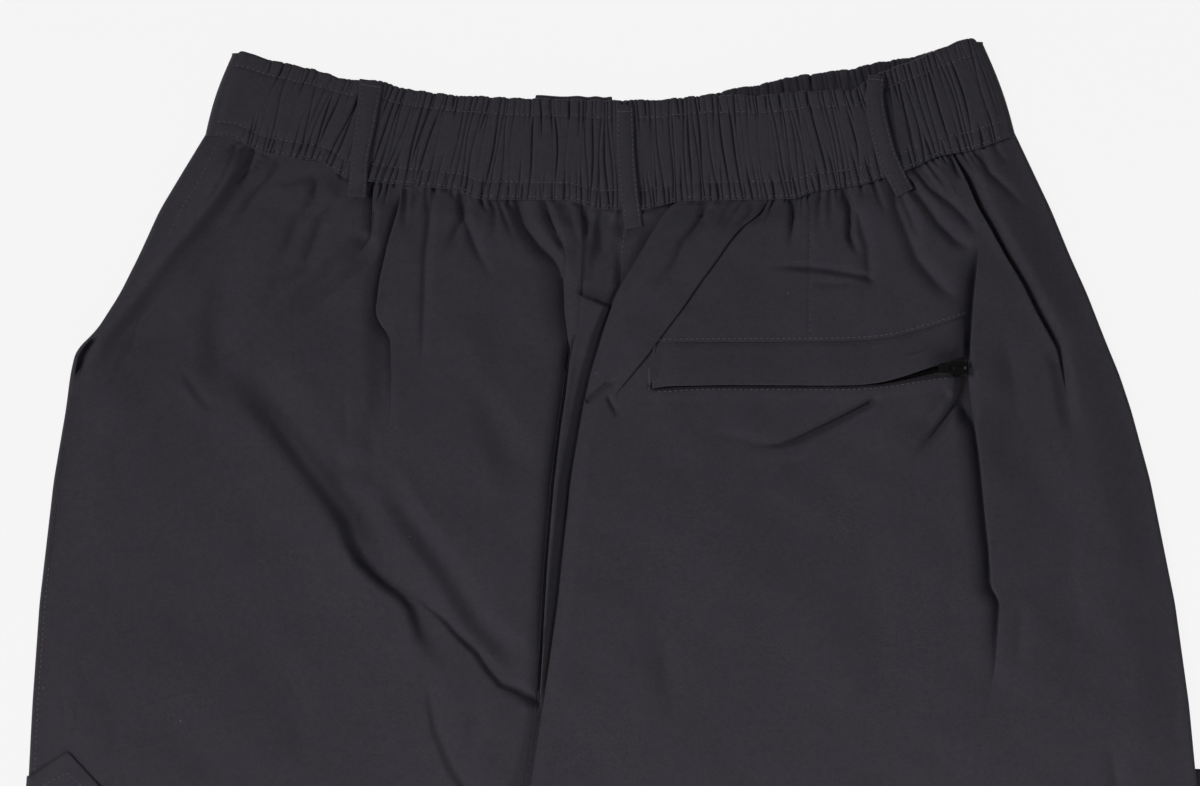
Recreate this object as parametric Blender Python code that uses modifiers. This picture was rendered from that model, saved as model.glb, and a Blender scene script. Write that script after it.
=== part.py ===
"""Cargo trousers lying flat on their front, with the back facing up.

The tables are in millimetres. x runs across the garment from its middle, and `down` runs from
a line just above the waistband towards the hems. In the scene +X is right, +Y is towards the
waist and +Z is up, and the garment rests on z = 0. Every cloth piece is a wall around its own
surface: the points that the functions below give are the cloth's outer face.
"""
import math
from collections import namedtuple

import bmesh
import bpy
import numpy as np
from mathutils import Matrix, Vector
from mathutils.bvhtree import BVHTree

MM = 0.001

# Cloth and seams
CLOTH = 1.2                 # wall of one layer of cloth
BAND_WALL = 2.4             # waistband: two layers over elastic
SEAM_GAP = 0.3              # gap between neighbouring pieces
LAYER = CLOTH + SEAM_GAP    # height that one more layer takes
LOWEST_BACK = CLOTH + LAYER                 # outer face of a back panel that lies right on the front
EDGE_RADIUS = 2.1           # the cloth's turn round the outer edge of a leg
EDGE_HEIGHT = 2.0 * EDGE_RADIUS
EDGE_SOFT = 26.0            # distance over which the cloth rises from that edge
UNDER_TURN = 7.0            # how far the right back panel goes on under the edge
FOLD_RADIUS = 1.35          # turn of the deep centre fold's edge
TUCK = 12.0                 # depth of the centre fold's hidden layer
FOLD_DIP = 11.0             # distance over which a back panel changes height beside that fold

# Lengths down the garment
CROTCH_DOWN = 425.0
HEM_DOWN = 1040.0
PANEL_ROWS = 26             # rows of faces from the waistband seam to the crotch
BACK_COLUMN, FRONT_COLUMN = 9.6, 40.0       # widest columns of the back and front panels
LEG_ROWS = (443, 480, 530, 590, 650, 720, 800, 880, 960, HEM_DOWN)

# How high the back stands over the outer edge's level: at the waistband seam, below it, at the
# crotch and at the hem
LOFT_SEAM, LOFT_HIP, LOFT_CROTCH, LOFT_HEM = 1.8, 3.4, 2.6, 1.6
HIP_REACH = 22.0            # distance from the waistband seam to the hip loft

# Thigh pockets lift the leg off the surface, because they pass under it
POCKET_LIFT = 2.0 * LAYER
LIFT_FROM, LIFT_FULL, LIFT_LAST, LIFT_END = 290.0, 383.0, 600.0, 680.0
LIFT_INNER_LEFT, LIFT_INNER_RIGHT, LIFT_SLOPE = -205.0, 222.0, 80.0

# Waistband
BAND_HEIGHT = 6.6           # outer face of the back band
BAND_TURN = BAND_HEIGHT / 2.0
BAND_FOOT = 1.0             # flat end of the back band, where it meets the front band
END_TRIM = 0.8              # the band's slanting ends stop short of the seam by this much
GATHERS = 82
GATHER_RISE = 0.8           # a gather's crest over the band's mean face
GATHER_UNEVEN = 0.25        # how far a gather strays from even spacing, as a share of half of it
FRONT_GATHER_RISE = 0.4
GAPE_RISE = 5.0             # how far the back band stands up where the waist is open
FLAT_FRONT = (-32.5, 6.0)   # ungathered stretch at the centre of the front band

# Outline, seams and the centre fold at each distance down
Section = namedtuple("Section", "down outer_left outer_right strip seat_seam fold_edge")
SECTIONS = [
    Section(67, -197.5, 208.0, 9.5, 15.0, 84.0),
    Section(85, -208.5, 216.5, 13.0, 15.0, 60.0),
    Section(105, -220.5, 226.0, 13.0, 15.0, 33.0),
    Section(127, -230.5, 235.0, 12.0, 12.5, 20.0),
    Section(147, -240.5, 244.0, 7.0, 11.0, 8.0),
    Section(165, -252.0, 251.0, 3.0, 8.0, 2.0),
    Section(175, -262.5, 255.0, 7.0, 6.0, -1.0),
    Section(187, -265.2, 260.0, 5.0, 3.5, -4.5),
    Section(205, -267.5, 266.0, 2.6, -1.0, -8.5),
    Section(240, -273.5, 275.5, 2.4, -7.0, -14.5),
    Section(302, -280.7, 288.0, 2.4, -13.5, -21.0),
    Section(352, -284.0, 294.7, 2.4, -20.5, -28.0),
    Section(393, -287.0, 298.5, 2.4, -27.5, -34.5),
    Section(425, -290.0, 301.0, 2.4, -34.0, -36.0),
    Section(443, -291.2, 302.3, 2.4, -33.0, -31.0),
    Section(480, -292.0, 303.0, 2.4, -30.0, -14.0),
    Section(600, -288.0, 299.0, 2.4, -33.0, 8.0),
    Section(800, -271.0, 283.0, 2.4, -42.0, 38.0),
    Section(1040, -258.0, 268.0, 2.4, -48.0, 58.0),
]
LEG_SEAM_INSET = 7.5        # right inseam from the folded inner edge, below the crotch

# Seam between the waistband and the back panels, and the band's own top edge
Edge = namedtuple("Edge", "x down")
BAND_SEAM = [
    Edge(-197.5, 67.0), Edge(-183.0, 68.5), Edge(-170.0, 75.5), Edge(-151.0, 79.0), Edge(-139.5, 79.7),
    Edge(-127.0, 89.0), Edge(-109.0, 91.0), Edge(-71.0, 94.5), Edge(-60.0, 99.3), Edge(-15.0, 99.6),
    Edge(-2.0, 104.0), Edge(22.0, 104.5), Edge(40.0, 100.0), Edge(98.0, 99.0), Edge(106.0, 95.5),
    Edge(131.0, 92.0), Edge(155.0, 84.0), Edge(169.0, 77.5), Edge(187.5, 74.5), Edge(208.0, 67.0),
]
BAND_TOP = [
    Edge(-184.0, 27.5), Edge(-180.0, 26.2), Edge(-165.0, 31.0), Edge(-142.0, 36.0), Edge(-127.0, 41.0),
    Edge(-112.0, 41.0), Edge(-97.0, 45.5), Edge(-75.0, 48.5), Edge(-37.0, 50.3), Edge(5.0, 51.2),
    Edge(30.0, 51.0), Edge(52.0, 48.6), Edge(81.0, 49.0), Edge(101.0, 47.0), Edge(127.0, 46.3),
    Edge(135.0, 40.5), Edge(141.0, 37.0), Edge(156.0, 31.5), Edge(172.0, 24.6), Edge(184.0, 19.8),
    Edge(191.5, 22.0),
]
# How far the front band's top edge stands above the back band's
Gape = namedtuple("Gape", "x rise")
GAPES = [
    Gape(-190.0, 0.0), Gape(50.0, 0.0), Gape(67.0, 4.0), Gape(90.0, 8.0), Gape(112.0, 10.0),
    Gape(127.0, 11.5), Gape(141.0, 5.6), Gape(156.0, 2.6), Gape(172.0, 0.0), Gape(200.0, 0.0),
]

# The largest folds. Each runs down the garment through three points. rise is its height, less
# than 0 for a trough, west and east are its widths to the left and right of that line as the
# back is seen, and grow and fade are the shares of its length over which it starts and ends.
Fold = namedtuple("Fold", "x0 down0 x1 down1 x2 down2 rise west east grow fade")
LEFT_FOLDS = [
    # side strip: two troughs beside a narrow ridge
    Fold(-166, 79, -198, 116, -250, 190, -2.4, 8, 8, 0.02, 0.4),
    Fold(-161, 83, -195, 121, -246, 190, 1.6, 8, 8, 0.05, 0.4),
    Fold(-156, 87, -192, 128, -240, 192, -2.4, 9, 9, 0.02, 0.5),
    # gathers' runs below the waistband
    Fold(-143, 85, -151, 108, -160, 128, -2.0, 8, 8, 0.02, 0.6),
    Fold(-130, 92, -141, 122, -163, 141, -2.6, 8, 8, 0.02, 0.5),
    Fold(-114, 96, -124, 130, -156, 158, -3.4, 9, 8, 0.02, 0.5),
    Fold(-101, 102, -110, 138, -106, 215, -2.2, 9, 9, 0.05, 0.6),
    Fold(-83, 102, -87, 140, -89, 183, -1.5, 8, 8, 0.02, 0.5),
    Fold(-68, 103, -66, 122, -55, 139, -2.4, 8, 8, 0.02, 0.6),
    Fold(-182, 125, -191, 152, -192, 190, -1.8, 16, 16, 0.3, 0.5),
    # deep valley and the narrow ridges beside the centre fold
    Fold(-40, 103, -24, 125, -18, 150, -2.6, 9, 9, 0.02, 0.2),
    Fold(-18, 130, -18, 215, -30, 350, -3.0, 13, 8, 0.1, 0.2),
    Fold(-16, 103, -13, 135, -14, 172, 2.2, 8, 8, 0.1, 0.3),
    Fold(0, 150, -13, 200, -26, 330, 1.8, 8, 8, 0.05, 0.4),
    # long diagonal step towards the crotch, and the soft folds beside it
    Fold(-178, 197, -108, 291, -30, 353, -3.2, 9, 16, 0.35, 0.1),
    Fold(-184, 206, -116, 300, -38, 364, 1.8, 30, 10, 0.35, 0.1),
    Fold(-92, 266, -64, 302, -34, 333, -1.6, 12, 12, 0.3, 0.3),
    Fold(-88, 341, -79, 374, -68, 402, -2.4, 12, 12, 0.3, 0.4),
    # lower leg
    Fold(-200, 470, -212, 560, -200, 660, -1.6, 26, 26, 0.4, 0.4),
    Fold(-110, 480, -130, 600, -122, 760, 1.8, 30, 30, 0.4, 0.4),
    Fold(-70, 620, -96, 700, -150, 760, -1.6, 22, 22, 0.4, 0.4),
    Fold(-215, 740, -180, 820, -120, 860, -1.5, 24, 24, 0.4, 0.4),
    Fold(-160, 860, -170, 940, -165, 1035, 1.4, 26, 26, 0.4, 0.1),
]
RIGHT_FOLDS = [
    Fold(60, 101, 42, 121, 20, 150, -2.2, 8, 8, 0.02, 0.4),
    # crisp fold across the seat: raised on its upper side, with a gap below
    Fold(76, 103, 37, 154, 4, 197, 2.2, 16, 8, 0.05, 0.3),
    Fold(84, 105, 45, 158, 12, 201, -2.4, 8, 9, 0.02, 0.3),
    Fold(124, 96, 125, 113, 124, 128, -2.2, 8, 8, 0.02, 0.6),
    Fold(148, 92, 158, 128, 180, 152, -2.0, 9, 9, 0.02, 0.5),
    # creases under the welt pocket
    Fold(46, 214, 92, 224, 140, 200, -1.6, 10, 8, 0.3, 0.3),
    Fold(181, 198, 166, 218, 155, 235, -1.6, 9, 9, 0.1, 0.6),
    # upright fold beside the pocket: a valley, and a raised edge to its right
    Fold(181, 140, 181, 215, 190, 340, -2.6, 12, 8, 0.3, 0.3),
    Fold(193, 130, 193, 210, 202, 345, 2.4, 8, 28, 0.3, 0.3),
    # deep fold from the waistband to the hip
    Fold(179, 76, 206, 135, 234, 214, -3.4, 9, 9, 0.02, 0.4),
    Fold(187, 76, 214, 130, 243, 205, 1.6, 8, 14, 0.05, 0.4),
    Fold(25, 303, 36, 350, 33, 400, -1.5, 16, 16, 0.4, 0.4),
    Fold(110, 300, 118, 345, 116, 400, 1.2, 40, 40, 0.4, 0.4),
    # lower leg
    Fold(240, 440, 232, 560, 222, 680, -1.6, 26, 26, 0.4, 0.4),
    Fold(120, 450, 130, 600, 150, 760, 1.8, 32, 32, 0.4, 0.4),
    Fold(60, 600, 90, 680, 150, 730, -1.6, 22, 22, 0.4, 0.4),
    Fold(235, 720, 190, 810, 130, 850, -1.5, 24, 24, 0.4, 0.4),
    Fold(165, 850, 176, 940, 170, 1035, 1.4, 26, 26, 0.4, 0.1),
]
FOLD_STEPS = 8
NARROWEST_FOLD = 8.0        # a fold narrower than this would fall between the wall's points

# Belt loops: the middle of the strip from its top end to its bottom end
LOOP_WIDTH = 9.5
LOOP_BOW = 1.4              # how far a loop stands off in its middle
LOOPS = {
    "belt_loop_left": [Edge(-113.0, 42.0), Edge(-115.5, 60.0), Edge(-118.5, 78.0), Edge(-121.0, 98.0)],
    "belt_loop_centre": [Edge(12.5, 53.0), Edge(12.8, 74.0), Edge(14.5, 98.0), Edge(17.0, 113.5)],
    "belt_loop_right": [Edge(136.0, 42.5), Edge(136.5, 60.0), Edge(143.0, 78.0), Edge(152.0, 97.5)],
}

# Welt pocket: its sewn upper edge and its free lower edge, left to right
Welt = namedtuple("Welt", "x sewn free")
WELTS = [
    Welt(25.5, 172.5, 194.5), Welt(33.0, 171.7, 192.5), Welt(64.0, 171.5, 191.8), Welt(115.0, 171.2, 191.7),
    Welt(141.0, 169.8, 190.5), Welt(160.0, 165.8, 186.5), Welt(172.0, 162.0, 181.0), Welt(181.0, 159.5, 178.0),
]
TAPE_WALL = 1.0
TAPE_OVER, TAPE_UNDER = 6.0, 2.5            # the tape's edges from the welt's free edge
TAPE_RIGHT_END = 184.0

# Zip slider and its pull tab
SLIDER_X, SLIDER_DOWN = 179.0, 184.0
SLIDER_LENGTH, SLIDER_WIDTH, SLIDER_HEIGHT = 8.6, 6.6, 2.2
BRIDGE_LENGTH, BRIDGE_WIDTH, BRIDGE_WALL, BRIDGE_CLEAR = 7.0, 1.7, 0.9, 2.3
PIVOT_INSET, PIVOT_HEIGHT = 1.9, 1.2        # axis from the bridge's right end, and over the slider
TAB_LENGTH, TAB_WIDTH, TAB_THICK = 12.5, 5.6, 1.1
TAB_BAR, TAB_EYE_LENGTH, TAB_EYE_WIDTH = 1.1, 6.0, 2.7

# Thigh pockets. The left flap's upper edge at distances from the leg's outermost line: over the
# top where around is above 0, and underneath where it is below. Its corner is the highest point.
FlapEdge = namedtuple("FlapEdge", "around down")
FLAP_TOP = [
    FlapEdge(-66.0, 400.0), FlapEdge(-20.0, 394.0), FlapEdge(2.0, 387.0), FlapEdge(17.5, 375.5),
    FlapEdge(27.0, 386.0), FlapEdge(35.0, 393.5), FlapEdge(46.0, 404.0), FlapEdge(57.0, 415.0),
]
FLAP_BOTTOM = 452.0
POCKET_TOP, POCKET_BOTTOM = 402.0, 592.0
POCKET_REACH_ABOVE, POCKET_REACH_UNDER = 52.0, 66.0
WRAP_ROWS = 8
FLAP_STANDS_OUT, POCKET_STANDS_OUT = 7.0, 3.0
FLAP_RIGHT_TOP = 385.0
RIGHT_POCKET_INNER = 236.0

# Material colours: linear RGB, roughness, metallic
CLOTH_LOOK = ((0.034, 0.031, 0.038), 0.78, 0.0)
TAPE_LOOK = ((0.018, 0.017, 0.020), 0.85, 0.0)
ZIP_LOOK = ((0.012, 0.012, 0.013), 0.22, 0.9)


# ---------------------------------------------------------------- numbers

def smooth(value):
    """Ease from 0 to 1."""
    share = np.clip(value, 0.0, 1.0)
    return share * share * (3.0 - 2.0 * share)


def read(table, given, wanted, at):
    """Value of one column of a table where another column has the value `at`."""
    known = [getattr(row, given) for row in table]
    values = [getattr(row, wanted) for row in table]
    return np.interp(at, known, values)


def section(wanted, down):
    return read(SECTIONS, "down", wanted, down)


def band_seam(x):
    return read(BAND_SEAM, "x", "down", x)


def fold_line(fold):
    """Points along a fold's line: the parabola through its three points."""
    share = np.linspace(0.0, 1.0, FOLD_STEPS + 1)[:, None]
    first = np.array([fold.x0, fold.down0], float)
    middle = np.array([fold.x1, fold.down1], float)
    last = np.array([fold.x2, fold.down2], float)
    control = 2.0 * middle - 0.5 * (first + last)
    return (1 - share) ** 2 * first + 2 * share * (1 - share) * control + share ** 2 * last


def fold_rise(fold, x, down):
    """Height that one fold adds at points of the cloth."""
    line = fold_line(fold)
    nearest = np.full(np.shape(x), 1e9)
    side = np.zeros(np.shape(x))
    along = np.zeros(np.shape(x))
    for step in range(FOLD_STEPS):
        start, run = line[step], line[step + 1] - line[step]
        dx, dd = x - start[0], down - start[1]
        share = np.clip((dx * run[0] + dd * run[1]) / (run @ run), 0.0, 1.0)
        gap = np.hypot(dx - share * run[0], dd - share * run[1])
        closer = gap < nearest
        nearest = np.where(closer, gap, nearest)
        side = np.where(closer, run[0] * dd - run[1] * dx, side)
        along = np.where(closer, (step + share) / FOLD_STEPS, along)
    width = np.where(side > 0, max(fold.west, NARROWEST_FOLD), max(fold.east, NARROWEST_FOLD))
    bump = 0.5 + 0.5 * np.cos(np.pi * np.clip(nearest / width, 0.0, 1.0))
    return fold.rise * bump * smooth(along / fold.grow) * smooth((1.0 - along) / fold.fade)


def lift(x, down):
    """Height of the front panels' outer face: 0, or over a thigh pocket."""
    lengthwise = smooth((down - LIFT_FROM) / (LIFT_FULL - LIFT_FROM))
    lengthwise = lengthwise * smooth((LIFT_END - down) / (LIFT_END - LIFT_LAST))
    left = smooth((LIFT_INNER_LEFT + LIFT_SLOPE - x) / LIFT_SLOPE)
    right = smooth((x - LIFT_INNER_RIGHT + LIFT_SLOPE) / LIFT_SLOPE)
    return POCKET_LIFT * lengthwise * np.maximum(left, right)


def loft(x, down):
    """How high the back stands over the level of the outer edges, without its folds."""
    below_seam = smooth((down - band_seam(x)) / HIP_REACH)
    hip = LOFT_SEAM + (LOFT_HIP - LOFT_SEAM) * below_seam
    thigh = hip + (LOFT_CROTCH - LOFT_HIP) * smooth((down - 200.0) / (CROTCH_DOWN - 200.0))
    return thigh + (LOFT_HEM - LOFT_CROTCH) * smooth((down - CROTCH_DOWN) / (HEM_DOWN - CROTCH_DOWN))


def back_height(x, down, folds):
    """Outer face of the back of the garment, between its two outer edges."""
    inside = np.minimum(x - section("outer_left", down), section("outer_right", down) - x) - EDGE_RADIUS
    height = loft(x, down)
    for fold in folds:
        height = height + fold_rise(fold, x, down)
    height = np.maximum(height, 0.1)
    return lift(x, down) + EDGE_HEIGHT + height * smooth(inside / EDGE_SOFT)


def under_fold(down):
    """Where the left panel has come down to pass under the centre fold."""
    return np.minimum(section("fold_edge", down) - 1.0, section("seat_seam", down) - 1.5)


def left_height(x, down):
    """Back height on the left panel, which dips to pass under the centre fold."""
    low = lift(x, down) + LOWEST_BACK
    return low + (back_height(x, down, LEFT_FOLDS) - low) * smooth((under_fold(down) - x) / FOLD_DIP)


def right_height(x, down):
    """Back height on the right panel's top layer, which starts at the centre fold's edge."""
    gap = x - section("fold_edge", down) - FOLD_RADIUS
    low = LOWEST_BACK + 2.0 * LAYER
    return low + (back_height(x, down, RIGHT_FOLDS) - low) * smooth(gap / FOLD_DIP)


def row_downs(column, rows=PANEL_ROWS, legs=LEG_ROWS):
    """Distances down one column of a panel, from the waistband seam to the hem.

    column(down) is the column's x. The first row lies on the waistband seam, so it is found
    by going back and forth between the two.
    """
    top = 90.0
    for _ in range(40):
        top = 0.5 * (top + float(band_seam(column(top))))
    top += SEAM_GAP
    share = np.linspace(0.0, 1.0, rows + 1) ** 1.15
    return np.concatenate([top + share * (CROTCH_DOWN - top), np.array(legs, float)])


def panel_shares(start, end, widest):
    """Shares of the way from start(down) to end(down) at which a panel has its columns.

    Every corner of the waistband seam gets a column, so that the panel's edge follows it, and
    the stretches between are divided until none is wider than `widest`.
    """
    def limit(side):
        x = 0.0
        for _ in range(60):
            x = 0.5 * (x + float(side(band_seam(x) + SEAM_GAP)))
        return x

    first, last = limit(start), limit(end)
    low, high = min(first, last), max(first, last)
    marks = [low] + [edge.x for edge in BAND_SEAM if low + 2.0 < edge.x < high - 2.0] + [high]
    shares = []
    for x0, x1 in zip(marks, marks[1:]):
        pieces = max(1, math.ceil((x1 - x0) / widest))
        for x in np.linspace(x0, x1, pieces + 1)[:-1]:
            down = band_seam(x) + SEAM_GAP
            shares.append(float((x - start(down)) / (end(down) - start(down))))
    shares.append(1.0 if last > first else 0.0)
    return sorted(shares)


def columns_between(start, end, widest, height, reverse=False):
    """Columns of a panel between two lines, each a function of the distance down."""
    def column_at(share):
        return lambda down: start(down) + share * (end(down) - start(down))

    shares = panel_shares(start, end, widest)
    if reverse:
        shares = shares[::-1]
    return [(column_at(share), height) for share in shares]


def columns_to_points(columns):
    """Grid of points from a list of columns, each (x of down, z of x and down)."""
    grid = []
    for column, height in columns:
        down = row_downs(column)
        x = column(down)
        grid.append(np.stack([x, -down, height(x, down)], axis=-1))
    return np.array(grid).transpose(1, 0, 2)


# ---------------------------------------------------------------- Blender helpers

def make_material(name, look):
    color, roughness, metallic = look
    material = bpy.data.materials.new(name)
    material.use_nodes = True
    shader = material.node_tree.nodes["Principled BSDF"]
    shader.inputs["Base Color"].default_value = (*color, 1.0)
    shader.inputs["Roughness"].default_value = roughness
    shader.inputs["Metallic"].default_value = metallic
    return material


def add_object(name, mesh, look):
    """Put a mesh in the trousers' collection, under the empty that places them."""
    mesh.materials.append(make_material(name, look))
    piece = bpy.data.objects.new(name, mesh)
    garment.objects.link(piece)
    piece.parent = placing
    return piece


def grid_mesh(name, points, outward):
    """Mesh of a grid laid through points[row, column], whose faces point out.

    outward is 1 where the rows run down the garment and the face is seen from above.
    """
    rows, columns = points.shape[0] - 1, points.shape[1] - 1
    shape = bmesh.new()
    bmesh.ops.create_grid(shape, x_segments=columns, y_segments=rows, size=1.0)
    for vertex in shape.verts:
        column = round((vertex.co.x + 1.0) / 2.0 * columns)
        row = round((1.0 - vertex.co.y) / 2.0 * rows)
        vertex.co = Vector(points[row, column]) * MM
    if outward < 0:
        bmesh.ops.reverse_faces(shape, faces=shape.faces)
    mesh = bpy.data.meshes.new(name)
    shape.to_mesh(mesh)
    shape.free()
    mesh.shade_smooth()
    return mesh


def add_wall(name, points, wall, look=CLOTH_LOOK, outward=1):
    """A cloth piece: a grid with a Solidify wall on its inner side."""
    piece = add_object(name, grid_mesh(name, points, outward), look)
    solidify = piece.modifiers.new("cloth thickness", "SOLIDIFY")
    solidify.thickness = wall * MM
    solidify.offset = -1.0
    solidify.use_quality_normals = True
    return piece


def add_flat_sided(name, points, look=CLOTH_LOOK):
    """A piece whose underside is flat on z = 0: a grid whose faces are drawn down to it."""
    mesh = grid_mesh(name, points, 1)
    shape = bmesh.new()
    shape.from_mesh(mesh)
    made = bmesh.ops.extrude_face_region(shape, geom=shape.faces[:])
    for item in made["geom"]:
        if isinstance(item, bmesh.types.BMVert):
            item.co.z = 0.0
    bmesh.ops.recalc_face_normals(shape, faces=shape.faces)
    shape.to_mesh(mesh)
    shape.free()
    return add_object(name, mesh, look)


def surface_of(*grids):
    """Search tree of the outer faces of some grids of points."""
    corners, faces = [], []
    for points in grids:
        rows, columns = points.shape[:2]
        base = len(corners)
        corners.extend(Vector(point) for point in points.reshape(-1, 3))
        for row in range(rows - 1):
            for column in range(columns - 1):
                first = base + row * columns + column
                faces.append((first, first + 1, first + columns + 1, first + columns))
    return BVHTree.FromPolygons(corners, faces)


def top_of(surface, x, down, reach):
    """Highest point of a surface within reach of (x, down)."""
    highest = 0.0
    steps = np.linspace(-reach, reach, 9)
    for step_x in steps:
        for step_down in steps:
            above = Vector((x + step_x, -(down + step_down), 100.0))
            hit = surface.ray_cast(above, Vector((0.0, 0.0, -1.0)))[0]
            if hit is not None:
                highest = max(highest, hit.z)
    return highest


# ---------------------------------------------------------------- panels

def edge_turn(side, angle):
    """x and z of the cloth's turn round a leg's outer edge; the angle is 90 on top, -90 below."""
    outline = "outer_left" if side < 0 else "outer_right"
    turn = math.radians(angle)

    def column(down):
        return section(outline, down) - side * EDGE_RADIUS * (1.0 - math.cos(turn))

    def height(x, down):
        return lift(x, down) + EDGE_RADIUS * (1.0 + math.sin(turn))

    return column, height


def back_panel_left():
    """From the side strip to the seat seam, under the centre fold."""
    def side_seam(down):
        return section("outer_left", down) + section("strip", down) + SEAM_GAP

    def seat_seam(down):
        return section("seat_seam", down)

    columns = columns_between(side_seam, under_fold, BACK_COLUMN, left_height)
    points = columns_to_points(columns + [(seat_seam, left_height)])
    add_wall("back_panel_left", points, CLOTH)
    return points


def right_seam(down):
    """Right panel's seat seam, and below the crotch its inseam."""
    seat = section("seat_seam", down) + SEAM_GAP
    inseam = section("fold_edge", down) + LEG_SEAM_INSET
    return seat + (inseam - seat) * smooth((down - CROTCH_DOWN) / 18.0)


def back_panel_right():
    """From the seat seam through the deep centre fold, over the back and round the outer edge."""
    def from_fold(offset):
        return lambda down: section("fold_edge", down) + offset

    def level(height):
        return lambda x, down: lift(x, down) + height

    def top_end(down):
        return section("outer_right", down) - EDGE_RADIUS

    under_layer = LOWEST_BACK + SEAM_GAP
    top_layer = under_layer + 2.0 * FOLD_RADIUS
    columns = columns_between(right_seam, from_fold(TUCK), 60.0, level(LOWEST_BACK))
    columns += [
        (from_fold(TUCK + 0.15), level(LOWEST_BACK + 0.15)),
        (from_fold(TUCK), level(under_layer)),
        (from_fold(FOLD_RADIUS), level(under_layer)),
    ]
    for angle in (-45, 0, 45):
        turn = math.radians(angle)
        columns.append((from_fold(FOLD_RADIUS * (1.0 - math.cos(turn))),
                        level((under_layer + top_layer) / 2.0 + FOLD_RADIUS * math.sin(turn))))

    columns += columns_between(from_fold(FOLD_RADIUS), top_end, BACK_COLUMN, right_height)
    columns += [edge_turn(1, angle) for angle in (45, 0, -45, -90)]
    columns.append((lambda down: section("outer_right", down) - EDGE_RADIUS - UNDER_TURN, lift))
    points = columns_to_points(columns)
    add_wall("back_panel_right", points, CLOTH)
    return points


def front_panel_left():
    """From the centre seam along the surface, round the outer edge and back to the side seam."""
    def turn_start(down):
        return section("outer_left", down) + EDGE_RADIUS

    def centre_seam(down):
        return section("seat_seam", down)

    columns = columns_between(turn_start, centre_seam, FRONT_COLUMN, lift, reverse=True)
    columns += [edge_turn(-1, angle) for angle in (-45, 0, 45)]
    columns.append((lambda down: section("outer_left", down) + EDGE_RADIUS, left_height))
    columns.append((lambda down: section("outer_left", down) + section("strip", down), left_height))
    points = columns_to_points(columns)
    add_wall("front_panel_left", points, CLOTH, outward=1)
    return points


def front_panel_right():
    """From the centre seam along the surface to the side seam under the outer edge."""
    def centre_seam(down):
        seam, inner = right_seam(down), section("fold_edge", down)
        return seam + (inner - seam) * smooth((down - CROTCH_DOWN) / 18.0)

    def side_seam(down):
        return section("outer_right", down) - EDGE_RADIUS - UNDER_TURN - SEAM_GAP

    columns = columns_between(centre_seam, side_seam, FRONT_COLUMN, lift, reverse=True)
    points = columns_to_points(columns)
    add_wall("front_panel_right", points, CLOTH)
    return points


# ---------------------------------------------------------------- waistband

def band_points(front):
    """Grid over a waistband: rows from its top edge to its seam, columns from left to right."""
    rise = FRONT_GATHER_RISE if front else GATHER_RISE
    count = 2 * GATHERS
    turns = [] if front else [(BAND_FOOT, -90)] + [(0.0, angle) for angle in (-90, -40, 10, 50)]
    numbers = np.arange(count + 1)
    uneven = GATHER_UNEVEN * np.sin(1.9 * numbers) * np.sin(np.pi * numbers / count)
    shares = (numbers + uneven) / count
    inset = BAND_TURN + (BAND_FOOT + SEAM_GAP if front else 0.0)
    width = BAND_SEAM[-1].x - BAND_SEAM[0].x - 2.0 * inset
    for corner in BAND_SEAM[1:-1]:
        share = (corner.x - BAND_SEAM[0].x - inset) / width
        shares[np.abs(shares - share).argmin()] = share
    rows = []
    for depth in np.linspace(0.0, 1.0, 4 if front else 5):
        row = []
        top_left, top_right = BAND_TOP[0].x, BAND_TOP[-1].x
        low_left, low_right = BAND_SEAM[0].x, BAND_SEAM[-1].x
        left = top_left + depth * (low_left - top_left)
        right = top_right + depth * (low_right - top_right)
        insets = [(foot + BAND_TURN * (1.0 - math.cos(math.radians(angle))), angle)
                  for foot, angle in turns]
        places = [(left + turn, angle) for turn, angle in insets]
        places += [(left + inset + share * (right - left - 2 * inset), None) for share in shares]
        places += [(right - turn, angle) for turn, angle in reversed(insets)]
        for number, (x, angle) in enumerate(places):
            share = (x - left) / (right - left)
            top_x = top_left + share * (top_right - top_left)
            low_x = low_left + share * (low_right - low_left)
            gape = read(GAPES, "x", "rise", top_x)
            top = read(BAND_TOP, "x", "down", top_x)
            low = band_seam(low_x)
            if front:
                middle = FLAT_FRONT[0] < top_x < FLAT_FRONT[1]
                shift = -gape - (1.8 if middle else -0.4)
                down = (top + shift) * (1.0 - depth) + low * depth
                wave = 0.0 if middle else (-1.0) ** number
                height = BAND_WALL + rise * wave
            elif angle is None:
                down = top + depth * (low - top)
                wave = (-1.0) ** number * smooth((share - 0.02) / 0.03) * smooth((0.99 - share) / 0.03)
                height = BAND_HEIGHT + rise * wave + GAPE_RISE * gape / 11.5 * (1.0 - depth)
            else:
                down = top + depth * (low - END_TRIM - top)
                height = BAND_TURN * (1.0 + math.sin(math.radians(angle)))
            row.append((x, -down, height))
        rows.append(row)
    return np.array(rows)


def waistbands():
    add_flat_sided("waistband_front", band_points(front=True))
    points = band_points(front=False)
    add_wall("waistband_back", points, BAND_WALL)
    return points


# ---------------------------------------------------------------- trimmings

def belt_loop(name, path, surface):
    """A strip over the waistband, sewn at both ends and bowed up between them."""
    steps = 6
    known = np.linspace(0.0, 1.0, len(path))
    rows = []
    for share in np.linspace(0.0, 1.0, steps + 1):
        x = float(np.interp(share, known, [point.x for point in path]))
        down = float(np.interp(share, known, [point.down for point in path]))
        height = top_of(surface, x, down, LOOP_WIDTH / 2.0 + 0.5)
        height += LAYER + LOOP_BOW * math.sin(math.pi * share)
        rows.append([(x - LOOP_WIDTH / 2.0, -down, height), (x + LOOP_WIDTH / 2.0, -down, height)])
    add_wall(name, np.array(rows), CLOTH)


def lay_on(surface, rows_of_places, over, reach):
    """Points of a piece that lies on a surface, `over` above its highest point nearby."""
    return np.array([[(x, -down, top_of(surface, x, down, reach) + over) for x, down in places]
                     for places in rows_of_places])


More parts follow.
